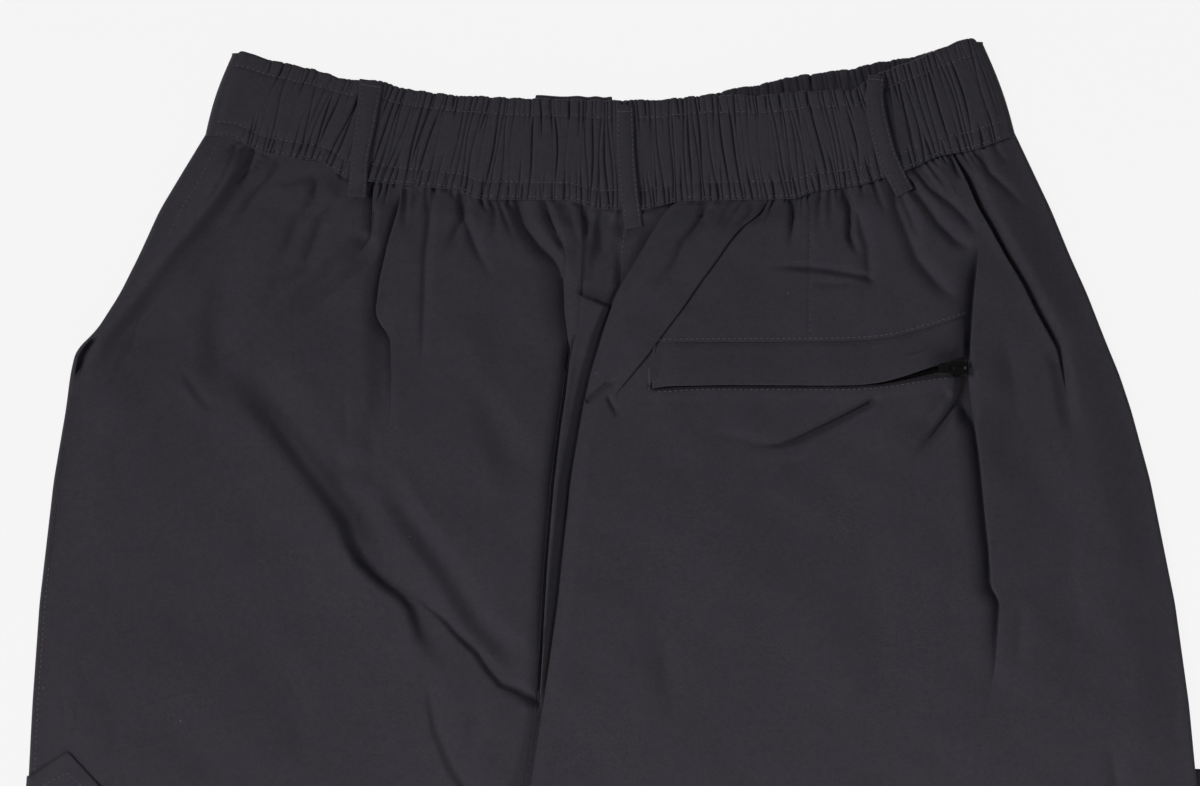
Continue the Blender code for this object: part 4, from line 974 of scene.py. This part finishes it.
def left_panel():
    points = guided_panel(LEFT_GUIDES, left_height)
    first = points[:, 0]
    tucked = np.stack([first + (0.3, 0.0, -0.8), first + (-0.1, 0.0, -0.25)], axis=1)
    points[:, 0] += (0.25, 0.0, 0.0)
    return hem_turned(np.concatenate([tucked, points], axis=1))


def right_panel():
    """Low layer from the seat seam, through the centre fold, over the back and round the edge."""
    top = guided_panel(RIGHT_GUIDES, right_height)
    fold, down = top[:, 0, 0], top[:, 0, 1]
    low = lift(fold, down) + LOWEST_BACK
    seam, left_end = right_seam(down) - 0.5, seat_seam(down)
    step_down = np.maximum(left_height(left_end - 0.2, down) - low, 0.0) * (down < 170.0)
    columns = []
    for share in np.linspace(0.0, 1.0, 11):
        x = seam + share * (fold + TUCK - seam)
        sloped = smooth((fold - x) / np.clip(fold - left_end, 1.0, 6.5))
        rise = np.maximum(step_down * sloped + 0.8 * puckers(x, down), 0.0)
        columns.append(stacked(x, down, low - 0.1 + rise))
    for offset, rise in ((TUCK + 0.2, 0.2), (TUCK, 0.4), (TUCK / 2.0, 1.0), (0.6, 1.7), (0.0, 1.8),
                         (-0.25, 2.05)):
        columns.append(stacked(fold + offset, down, low + rise))
    edge = edge_turn(1, (75, 60, 45, 30, 15, 0, -20, -45, -70, -90), top[:, -1, 1])
    edge.append(edge[-1] - (UNDER_TURN, 0.0, 0.0))
    return hem_turned(np.concatenate([np.stack(columns, axis=1), top, np.stack(edge, axis=1)], axis=1))


MOUTH_TOP, MOUTH_BOTTOM, MOUTH_DEPTH = 168.5, 189.0, 3.7    # of the side pocket in the left side seam


def front_hem(columns):
    """Grid of a front panel from its columns; its hem turns up inside where it lies low."""
    grid = np.stack(columns, axis=1)
    return hem_turned(grid, np.clip(1.0 - grid[-1, :, 2] / 3.0, 0.0, 1.0))


def left_front():
    """Front panel from the centre seam along the surface, round the left edge to the side seam."""
    down = column_downs(lambda at: section("outer_left", at) + 3.0, *panel_rows(200, 90))
    start, end = seat_seam(down), section("outer_left", down) + EDGE_RADIUS
    slant = (band_seam(start) - band_seam(end)) * np.maximum(1.0 - down / CROTCH_DOWN, 0.0)
    columns = []
    for share in np.linspace(0.0, 1.0, 13):
        x, rows = start + share * (end - start), down + slant * (1.0 - share)
        columns.append(stacked(x, rows, lift(x, rows)))
    columns += edge_turn(-1, range(-80, 81, 20), down)
    mouth = smooth((down - MOUTH_TOP) / 3.0) * smooth((MOUTH_BOTTOM - down) / 7.0)
    for share in (0.0, 0.08, 0.18, 0.3, 0.5, 0.7, 0.85, 1.0):
        x = end + share * (side_seam(down) + 0.5 - end)
        z = left_height(x, down) - 0.12 - MOUTH_DEPTH * mouth * smooth(share / 0.18)
        columns.append(stacked(x, down, z))
    return front_hem(columns)


def right_front():
    """Front panel that lies on the surface, from the centre seam to the side seam."""
    def line(at):
        inner = right_seam(at)
        inner = inner + (fold_edge(at) - inner) * below_crotch(at)
        return inner + share * (section("outer_right", at) - EDGE_RADIUS - UNDER_TURN - 0.3 - inner)

    columns = []
    for share in np.linspace(0.0, 1.0, 15):
        down = column_downs(line, *panel_rows(40, 30))
        columns.append(stacked(line(down), down, lift(line(down), down)))
    return front_hem(columns)


# ---------------------------------------------------------------- waistband

END_BULGE = 1.6             # how far the band's ends bow out
BAND_ROWS, BAND_COLUMNS = 56, 1480
STITCH_ROWS = (0.145, 0.83, 0.975)      # under the top edge and over the seam, as shares of the depth
STITCH_DROP, STITCH_REACH = 0.4, 0.022  # of the groove along a stitch row; its reach is such a share too
BAND_PUFF = 0.35            # how far the band bulges between its stitch rows
SCALLOP = 0.35              # how much of a gather's height its valley takes from the top edge
MIDDLE_RISE = 0.7           # how far the band's outer face stands over its two ends


def band_place(share, depth, front=False):
    """x and down of a place on the waistband."""
    top_x, low_x = across(BAND_TOP, share), across(BAND_SEAM, share)
    x = top_x * (1.0 - depth) + low_x * depth
    x = x + END_BULGE * np.sin(math.pi * depth) * (share - 0.5) * 2.0 * np.abs(2.0 * share - 1.0) ** 6
    top = read(BAND_TOP, "x", "down", top_x, 2.5)
    top = top + 0.25 * np.sin(top_x / 1.9 + 2.0 * np.sin(top_x / 7.3)) * smooth((top_x + 178.0) / 12.0)
    ends = np.minimum(top_x - BAND_TOP[0].x, BAND_TOP[-1].x - top_x)
    top = top + 4.0 * (1.0 - smooth(ends / 6.0)) ** 2
    if front:
        middle = (top_x > FLAT_FRONT[0]) & (top_x < FLAT_FRONT[1])
        top = top - gape(top_x) - np.where(middle, 1.8, -0.4)
    return x, top * (1.0 - depth) + band_seam(low_x) * depth


def band_top_turned(points, radius, back):
    """Adds rows above the first one: the band's folded top edge, and the start of its other side."""
    rows = [points[0] + (0.0, back, -2.0 * radius)]
    for turn in np.radians((180, 150, 120, 90, 60, 30)):
        rows.append(points[0] + (0.0, -radius * np.sin(turn), -radius * (1.0 - np.cos(turn))))
    return np.concatenate([rows, points])


def band_shares(columns, depths, inset):
    """Shares across the band, between its insets, and down it, for each point of its grid."""
    share, depth = np.meshgrid(np.linspace(0.0, 1.0, columns), depths)
    return inset + share * (1.0 - 2.0 * inset), depth


def back_band():
    inset = BAND_TURN / SEAM_WIDTH
    share, depth = band_shares(BAND_COLUMNS + 1, np.linspace(0.0, 1.0, BAND_ROWS + 1), inset)
    x, down = band_place(share, depth)
    z = MIDDLE_RISE + GAPE_RISE * gape(across(BAND_TOP, share)) / FULL_GAPE * (1.0 - depth)
    z = z + gathered(share, depth)
    for row in STITCH_ROWS:
        z = z - STITCH_DROP * np.exp(-((depth - row) / STITCH_REACH) ** 2)
    between = np.clip((depth - STITCH_ROWS[0]) / (STITCH_ROWS[1] - STITCH_ROWS[0]), 0.0, 1.0)
    z = z + BAND_PUFF * np.sin(math.pi * between)
    down = down - SCALLOP * gathered(share, 0.0) * (1.0 - depth) ** 6
    ends = smooth((share - inset) / END_EASE) * smooth((1.0 - inset - share) / END_EASE)
    points = stacked(x, down, BAND_HEIGHT + z * ends)
    turns = np.radians(np.arange(-90, 71, 20))
    left, right = (np.stack([stacked(edge[:, 0] + outward * np.cos(turn), edge[:, 1],
                                     BAND_TURN * (1.0 + np.sin(turn))) for turn in turns], axis=1)
                   for edge, outward in ((points[:, 0], -BAND_TURN), (points[:, -1], BAND_TURN)))
    points = np.concatenate([left, points, right[:, ::-1]], axis=1)
    points = band_top_turned(points, BAND_WALL / 2.0, 7.0)
    lower = [points[-1] + (0.0, past, -drop) for past, drop in ((0.45, 0.35), (0.5, 1.2), (0.1, 2.4))]
    points = np.concatenate([points, lower])
    points[..., 2] = np.maximum(points[..., 2], 0.0)
    return points


def front_band():
    inset = (BAND_TURN + 1.3) / SEAM_WIDTH
    share, depth = band_shares(620, np.linspace(0.0, 1.0, 22) ** 1.5, inset)
    x, down = band_place(share, depth, front=True)
    top_x = across(BAND_TOP, share)
    uneven = 1.0 - smooth((top_x - FLAT_FRONT[0]) / 1.5) * smooth((FLAT_FRONT[1] - top_x) / 1.5)
    shifted = share * 0.985 + 0.006
    z = BAND_WALL + 0.6 + 0.85 * gathered(shifted, depth) * uneven
    z = z + 3.4 * gape(top_x) / FULL_GAPE * (1.0 - depth) ** 1.5
    down = down - SCALLOP * gathered(shifted, 0.0, 400.0) * uneven * (1.0 - depth) ** 6
    return band_top_turned(stacked(x, down, np.maximum(z, 0.3)), 1.15, 6.0)


# ---------------------------------------------------------------- build the big pieces

left_points, right_points = left_panel(), right_panel()
front_left_points, band_points = left_front(), back_band()
dress("cloth_back_left", "back_panel_left", left_points, cloth)
dress("cloth_back_right", "back_panel_right", right_points, cloth)
dress("cloth_front_left", "front_panel_left", front_left_points, cloth)
dress("cloth_front_right", "front_panel_right", right_front(), cloth)
dress("cloth_waistband_back", "waistband_back", band_points, band_cloth)
dress("cloth_waistband_front", "waistband_front", front_band(), band_cloth)
whole = surface_of(left_points, right_points, front_left_points, band_points)
panels = surface_of(left_points, right_points, front_left_points)

# ---------------------------------------------------------------- belt loops

LOOPS = {                   # places down each loop's middle: x, down and width
    "belt_loop_left": [(-114, 40.8, 12.5), (-117, 62, 10.5), (-120, 79, 9), (-121.5, 98, 9.8)],
    "belt_loop_centre": [(12.5, 53, 9), (13, 80, 9.6), (15, 100, 9.8), (17, 113.5, 9.2)],
    "belt_loop_right": [(138, 38.6, 8.4), (136.5, 52, 9.6), (142.8, 77.5, 10.6), (152.5, 96, 9.6)],
}
LOOP_THREAD = {"belt_loop_left": 0.12, "belt_loop_centre": 0.2, "belt_loop_right": 0.15}    # radius
LOOP_ROWS, LOOP_COLUMNS = 56, 14
LOOP_OVER, LOOP_BOW = 1.0, 1.1


def loop_points(places, surface):
    """A folded strip over the waistband: its edges are rolled, and its ends turn under."""
    known, shares = np.linspace(0.0, 1.0, len(places)), np.linspace(0.0, 1.0, LOOP_ROWS + 1)
    xs, downs, widths = zip(*places)
    middle = stacked(interpolate(shares, known, xs, 0.12), interpolate(shares, known, downs, 0.0))
    run = np.gradient(middle, axis=0)
    run /= np.linalg.norm(run, axis=-1, keepdims=True)
    aside = stacked(run[:, 1], -run[:, 0]) * interpolate(shares, known, widths, 0.12)[:, None] / 2.0
    seats = [max(height_on(surface, *(place + part * half)) for part in (-0.8, -0.4, 0.0, 0.4, 0.8))
             for place, half in zip(middle, aside)]
    level = eased(seats, 9) + LOOP_OVER + LOOP_BOW * np.sin(math.pi * shares) ** 0.8
    part = np.linspace(-1.0, 1.0, LOOP_COLUMNS + 1)
    roll = -0.9 * np.maximum(0.0, (np.abs(part) - 0.86) / 0.14) ** 2
    ridge = -0.28 * np.exp(-((np.abs(part) - 0.62) / 0.09) ** 2) + 0.12 * np.cos(math.pi * part)
    cells = middle[:, None] + part[:, None] * aside[:, None]
    points = stacked(cells[..., 0], cells[..., 1], level[:, None] + roll + ridge)
    left, right = points[:, :1] + (0.2, 0.0, -1.3), points[:, -1:] - (0.2, 0.0, 1.3)
    points = np.concatenate([left, points, right], axis=1)
    over = [points[0] + place for place in ((0.0, 0.5, -1.7), (0.0, -0.3, -1.1), (0.0, -0.5, -0.45))]
    under = [points[-1] + place for place in ((0.0, 0.45, -0.45), (0.0, 0.35, -1.1), (0.0, -0.4, -1.8))]
    return np.concatenate([over, points, under])


loop_grids = {name: loop_points(places, whole) for name, places in LOOPS.items()}
for name, grid in loop_grids.items():
    dress("cloth_" + name, name, grid, band_cloth)

# ---------------------------------------------------------------- welt pocket and zip


def welt_points():
    """The welt's cloth, from its seam to its rolled free edge and back underneath."""
    xs = np.linspace(MOUTH_START, WELTS[-1].x, 190)
    sewn, free = welt_edge("sewn", xs), welt_edge("free", xs)
    base = heights_on(panels, xs, sewn - 0.8)
    far = eased(heights_on(panels, xs, free + 7.0), 31)
    rows = []
    for share in np.linspace(0.0, 1.0, 24):
        rise = 0.3 + 0.5 * smooth(share / 0.1) + 0.8 * smooth(share / 0.8)
        rise = rise * smooth((xs - MOUTH_START) / 14.0) - 0.3 * (1.0 - smooth((xs - MOUTH_START) / 7.0))
        rise = rise + WELT_GAPE * smooth((xs - 135.0) / 45.0) * share ** 2
        rows.append(stacked(xs, sewn + share * (free - sewn), base + (far - base) * share + rise))
    last = rows[-1]
    for past, drop in ((0.35, 0.25), (0.4, 0.75), (0.0, 1.05), (-4.0, 1.1), (-9.0, 1.0)):
        rows.append(last + (0.0, past, -drop))
    points = np.array(rows)
    points[:, (0, -1), 2] -= 0.5
    return points


def tape_points():
    """The zip's tape in the pocket's mouth, below the welt's free edge."""
    xs = np.linspace(MOUTH_START + 1.5, MOUTH_END, 120)
    free, lip = welt_edge("free", xs), lip_edge(xs)
    level = heights_on(panels, xs, (free + lip) / 2.0) + 0.35
    return np.array([stacked(xs, free - 5.0 + share * (lip + 6.0 - free), level)
                     for share in np.linspace(0.0, 1.0, 9)])


TOOTH_PITCH = 1.35


def zip_teeth(tape):
    """A coil of teeth along the tape's middle, as one joined mesh of small bent bars."""
    xs, downs, heights = tape[5].T
    corners, faces = [], []
    for number in range(int((xs[-1] - xs[0] - 4.0) / TOOTH_PITCH)):
        x = xs[0] + 2.0 + number * TOOTH_PITCH
        down, z = np.interp(x, xs, downs), np.interp(x, xs, heights)
        faces += [(first, first + 1, first + 3, first + 2)
                  for first in range(len(corners), len(corners) + 6, 2)]
        corners += [(x + wide, down + deep, z + up)
                    for deep, up in ((-1.5, 0.05), (-0.9, 0.5), (0.9, 0.5), (1.5, 0.05))
                    for wide in (-0.4, 0.4)]
    return corners, faces


dress("cloth_pocket_welt", "pocket_welt", welt_points(), cloth)
tape_grid = tape_points()
dress("zip_tape_cloth", "zip_tape", tape_grid, tape_cloth, "zip_tape")
add_mesh("zip_teeth", *zip_teeth(tape_grid), enamel, "zip_metal")

for node in ("zip_slider", "zip_pull"):
    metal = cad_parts[node]
    metal.data.materials.clear()
    metal.data.materials.append(enamel)
    bevel = metal.modifiers.new("soft edges", "BEVEL")
    bevel.width = 0.7 * MM
    bevel.segments = 3
    bevel.limit_method = "ANGLE"

# ---------------------------------------------------------------- thigh pockets

# The left flap's top edge: distance round the leg from its outermost line, and down
FLAP_TOP = [(-66, 400), (-20, 394), (5, 387), (22.5, 375.5), (32.5, 386), (40, 393.5), (51, 404), (62, 415)]
FLAP_BOTTOM = 452.0
POCKET_TOP, POCKET_BOTTOM = 402.0, 592.0
POCKET_REACH_ABOVE, POCKET_REACH_UNDER = 52.0, 66.0
FLAP_STANDS_OUT, POCKET_STANDS_OUT = 7.0, 3.0
FLAP_RIGHT_TOP = 385.0
RIGHT_POCKET_INNER = 236.0


def flap_top(around):
    return interpolate(around, *zip(*FLAP_TOP), 0.0)


def wrap_point(around, down, over):
    """A point `over` outside the left leg; around is measured from its outermost line."""
    centre_x, radius = section("outer_left", down) + EDGE_RADIUS, EDGE_RADIUS + over
    base, turn = lift(centre_x, down), around / radius
    if abs(turn) < math.pi / 2.0:
        return centre_x - radius * math.cos(turn), down, base + EDGE_RADIUS + radius * math.sin(turn)
    x = centre_x + abs(around) - math.pi / 2.0 * radius
    if around < 0:
        return x, down, max(lift(x, down) - over, 0.0)
    return x, down, max(height_on(panels, x, down), base + EDGE_HEIGHT) + over


def wrapped_points(above, top, bottom, over, thick):
    """A pocket or flap round the left leg's edge, with turned edges of the given thickness."""
    marks = np.concatenate([np.linspace(-POCKET_REACH_UNDER, -8.0, 10), np.linspace(-7.0, above, 56)])
    starts = [top(mark) for mark in marks]
    points = []
    for share in np.linspace(0.0, 1.0, 46):
        row = np.array([wrap_point(mark, start + share * (bottom - start), over)
                        for mark, start in zip(marks, starts)])
        row[marks > 8.0, 2] += 0.5 * math.sin(math.pi * share)
        points.append(row)
    under = (marks < 6.0)[:, None]
    rims = [points[end] + np.where(under, (0.6, 0.0, 0.0), (0.0, past, -thick))
            for end, past in ((0, -0.2), (-1, 0.2))]
    points = np.concatenate([rims[:1], points, rims[1:]])
    return np.concatenate([points, points[:, -1:] + (0.15, 0.0, -thick)], axis=1)


def flat_piece(top, bottom, out, height):
    """A pocket or flap under the right leg, whose outer border shows past the leg's edge."""
    down = np.linspace(top, bottom, 40)
    outer = section("outer_right", down) + out
    columns = [(RIGHT_POCKET_INNER + share * (outer - RIGHT_POCKET_INNER), height)
               for share in np.linspace(0.0, 1.0, 24) ** 0.7]
    columns += [(outer + 0.25, height - 0.35), (outer + 0.1, height - 0.9), (outer - 8.0, height - 1.0)]
    points = np.stack([stacked(x, down, z) for x, z in columns], axis=1)
    first, last = points[:1] - (0.0, 0.15, 0.9), points[-1:] + (0.0, 0.15, -0.9)
    points = np.concatenate([first, points, last])
    points[..., 2] = np.maximum(points[..., 2], 0.0)
    return points


flap_left = wrapped_points(FLAP_TOP[-1][0], flap_top, FLAP_BOTTOM, 1.0, 1.0)
flap_right = flat_piece(FLAP_RIGHT_TOP, FLAP_BOTTOM, FLAP_STANDS_OUT, 1.2)
pocket_left = wrapped_points(POCKET_REACH_ABOVE, lambda around: POCKET_TOP, POCKET_BOTTOM, 0.6, 0.6)
pocket_right = flat_piece(POCKET_TOP, POCKET_BOTTOM, POCKET_STANDS_OUT, 2.7)
for name, grid in (("cargo_pocket_left", pocket_left), ("cargo_flap_left", flap_left),
                   ("cargo_pocket_right", pocket_right), ("cargo_flap_right", flap_right)):
    dress("cloth_" + name, name, grid, cloth)

# ---------------------------------------------------------------- sewing

STITCH_PITCH = 2.7
STITCH_SHARE = 0.55         # of the pitch that shows as thread
STITCH_RADIUS = 0.2
STITCH_SIDES = 6
stitch_corners, stitch_faces = [], []


def stitch_row(surface, path, pitch=STITCH_PITCH, radius=STITCH_RADIUS, share=STITCH_SHARE, above=0.0):
    """Thread along a path of (x, down) points: one small spindle for each stitch."""
    path = np.array(path, float)
    lengths = np.concatenate([[0.0], np.cumsum(np.hypot(*np.diff(path, axis=0).T))])
    up = Vector((0.0, 0.0, 1.0))
    for number in range(int(lengths[-1] / pitch)):
        ends = []
        for at in (number * pitch, (number + share) * pitch):
            x, down = (float(np.interp(at, lengths, values)) for values in path.T)
            z = height_on(surface, x, down, None)
            if z is not None:
                ends.append(Vector((x, down, z + above)))
        if len(ends) < 2 or abs(ends[0].z - ends[1].z) > 1.6:
            continue
        run = ends[1] - ends[0]
        across_run = run.cross(up).normalized()
        base = len(stitch_corners)
        last = base + 1 + 3 * STITCH_SIDES
        stitch_corners.append(ends[0] - up * 0.12)
        for place, wide in ((0.14, 0.8), (0.5, 1.0), (0.86, 0.8)):
            middle = ends[0] + run * place + up * (0.1 * wide)
            for side in range(STITCH_SIDES):
                turn = 2.0 * math.pi * side / STITCH_SIDES
                stitch_corners.append(middle + across_run * (math.cos(turn) * radius * wide)
                                      + up * (math.sin(turn) * radius * 0.75 * wide))
        stitch_corners.append(ends[1] - up * 0.12)
        for side in range(STITCH_SIDES):
            near, far = base + 1 + side, base + 1 + (side + 1) % STITCH_SIDES
            stitch_faces.append((base, far, near))
            stitch_faces.append((last, near + 2 * STITCH_SIDES, far + 2 * STITCH_SIDES))
            for ring in (0, STITCH_SIDES):
                stitch_faces.append((near + ring, far + ring, far + ring + STITCH_SIDES,
                                     near + ring + STITCH_SIDES))


for depth in STITCH_ROWS:
    stitch_row(whole, stacked(*band_place(np.linspace(0.012, 0.988, 400), depth)))
seam_down = np.linspace(71.0, 119.0, 40)
stitch_row(panels, stacked(side_seam(seam_down) - 2.2, seam_down))
outseam_down = np.linspace(284.0, HEM_DOWN - 2.0, 80)
stitch_row(panels, stacked(section("outer_left", outseam_down) + 2.9, outseam_down))
seat_down = np.linspace(117.0, 129.0, 6)
stitch_row(panels, stacked(seat_seam(seat_down) - 1.6, seat_down))
stitch_row(panels, stacked(DART_X, np.linspace(99.5, 168.0, 20)), radius=0.1, above=-0.04)
pocket_x = np.linspace(MOUTH_START + 3.0, MOUTH_END, 60)
stitch_row(panels, stacked(pocket_x, welt_edge("sewn", pocket_x) - 2.2), above=0.05)
stitch_row(panels, stacked(pocket_x, lip_edge(pocket_x) + 1.2)[:-3], above=0.05)
TACK_X = 24.6               # the bar that closes the mouth's left end
stitch_row(panels, stacked(TACK_X, np.linspace(184.0, 195.5, 6)), pitch=1.1, share=0.95, radius=0.36)
for name, grid in loop_grids.items():
    surface, middle = surface_of(grid), grid[3:-3, :, :2]
    for column in (3, 13):
        stitch_row(surface, middle[1:-1, column], pitch=2.5, radius=LOOP_THREAD[name])
    stitch_row(surface, middle[2, 2:-2], pitch=1.2, share=0.9)
flap_surface, flap_rim = surface_of(flap_left), flap_left[1:-1, :-1, :2]
for path in (flap_rim[6, 12:-6], flap_rim[3:-3, -6], flap_rim[-4, 12:-6]):
    stitch_row(flap_surface, path)
flap_edge = np.linspace(FLAP_RIGHT_TOP + 3.0, FLAP_BOTTOM - 3.0, 20)
stitch_row(surface_of(flap_right),
           stacked(section("outer_right", flap_edge) + FLAP_STANDS_OUT - 1.6, flap_edge))
HEM_STITCH = HEM_DOWN - 22.0
for left, right in (("outer_left", "seat_seam"), ("fold_edge", "outer_right")):
    start, end = section(left, HEM_STITCH) + 5.0, section(right, HEM_STITCH) - 5.0
    stitch_row(panels, [(start, HEM_STITCH), (end, HEM_STITCH)])
add_mesh("stitches", stitch_corners, stitch_faces, thread, "cloth")

# ---------------------------------------------------------------- what each sheet was cut to

Cut = namedtuple("Cut", "piece flat area rests_on")
CUTS = [
    Cut("cloth_front_left", (0.33, 1.00), 0.27, ["cloth_front_right"]),
    Cut("cloth_front_right", (0.33, 1.00), 0.27, ["cloth_front_left"]),
    Cut("cloth_back_left", (0.33, 1.00), 0.27, ["cloth_front_left"]),
    Cut("cloth_back_right", (0.36, 1.00), 0.31, ["cloth_front_right", "cloth_back_left"]),
    Cut("cloth_waistband_front", (0.50, 0.060), None, ["cloth_front_left", "cloth_front_right"]),
    Cut("cloth_waistband_back", (0.54, 0.060), None,
        ["cloth_waistband_front", "cloth_back_left", "cloth_back_right"]),
    Cut("cloth_pocket_welt", (0.157, 0.034), None, ["cloth_back_right"]),
    Cut("zip_tape_cloth", (0.157, 0.012), None, ["cloth_back_right"]),
    Cut("cloth_cargo_pocket_left", (0.118, 0.190), None, ["cloth_front_left", "cloth_back_left"]),
    Cut("cloth_cargo_flap_left", (0.100, 0.075), 0.0065, ["cloth_cargo_pocket_left"]),
    Cut("cloth_cargo_pocket_right", (0.068, 0.190), None, ["cloth_cargo_flap_right"]),
    Cut("cloth_cargo_flap_right", (0.074, 0.068), None, ["cloth_cargo_pocket_right"]),
]
CUTS += [Cut("cloth_" + name, (0.011, 0.075), None, ["cloth_waistband_back"]) for name in LOOPS]
for cut in CUTS:
    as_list(cut.rests_on)

# ---------------------------------------------------------------- stage


def floor_material():
    nodes = Nodes("studio_floor")
    tone = nodes.mix(nodes.spread(nodes.noise(3.0), 0.3, 0.7), (0.030, 0.030, 0.030), (0.034, 0.034, 0.034))
    nodes.give(nodes.shader, {
        "Base Color": tone, "Roughness": 0.9, "Specular IOR Level": 0.0,
        "Emission Color": (1.0, 1.0, 1.0), "Emission Strength": 0.89,
    })
    return nodes.material


FLOOR_HALF, FLOOR_LEVEL = 6.0, -0.0004      # metres
floor_mesh = bpy.data.meshes.new("floor")
floor_mesh.from_pydata([(x * FLOOR_HALF, y * FLOOR_HALF, FLOOR_LEVEL)
                        for x, y in ((-1, -1), (1, -1), (1, 1), (-1, 1))], [], [(0, 1, 2, 3)])
floor_mesh.materials.append(floor_material())
add_object("floor", floor_mesh)

PHOTO_MIDDLE_DOWN = 196.5
PHOTO_WIDTH, CAMERA_HEIGHT, GARMENT_LEVEL = 0.600, 2.6, 0.006      # metres
SENSOR = 36.0
camera_data = bpy.data.cameras.new("camera")
camera_data.sensor_width = SENSOR
camera_data.lens = SENSOR * (CAMERA_HEIGHT - GARMENT_LEVEL) / PHOTO_WIDTH
camera_data.clip_start, camera_data.clip_end = 0.05, 50.0
camera = add_object("camera", camera_data)
camera.location = (PLACE_X, PLACE_Y - PHOTO_MIDDLE_DOWN * MM, CAMERA_HEIGHT)
bpy.context.scene.camera = camera


def area_light(name, place, target, size, power):
    data = bpy.data.lights.new(name, "AREA")
    data.shape = "RECTANGLE"
    data.size, data.size_y = size
    data.energy = power
    light = add_object(name, data)
    light.location = place
    light.rotation_mode = "QUATERNION"
    light.rotation_quaternion = (Vector(target) - Vector(place)).to_track_quat("-Z", "Y")


middle = (PLACE_X, PLACE_Y - 0.22, 0.0)
area_light("main", (PLACE_X - 4.8, middle[1] + 0.5, 5.0), middle, (2.4, 2.4), 279.0)
area_light("near", (PLACE_X + 0.06, middle[1] - 0.5, 0.36), middle, (1.5, 0.3), 3.2)
world = bpy.data.worlds.new("studio")
world.use_nodes = True
background = world.node_tree.nodes["Background"].inputs
background["Color"].default_value = (1.0, 1.0, 1.0, 1.0)
background["Strength"].default_value = 0.1
bpy.context.scene.world = world
bpy.context.scene.view_settings.view_transform = "Standard"
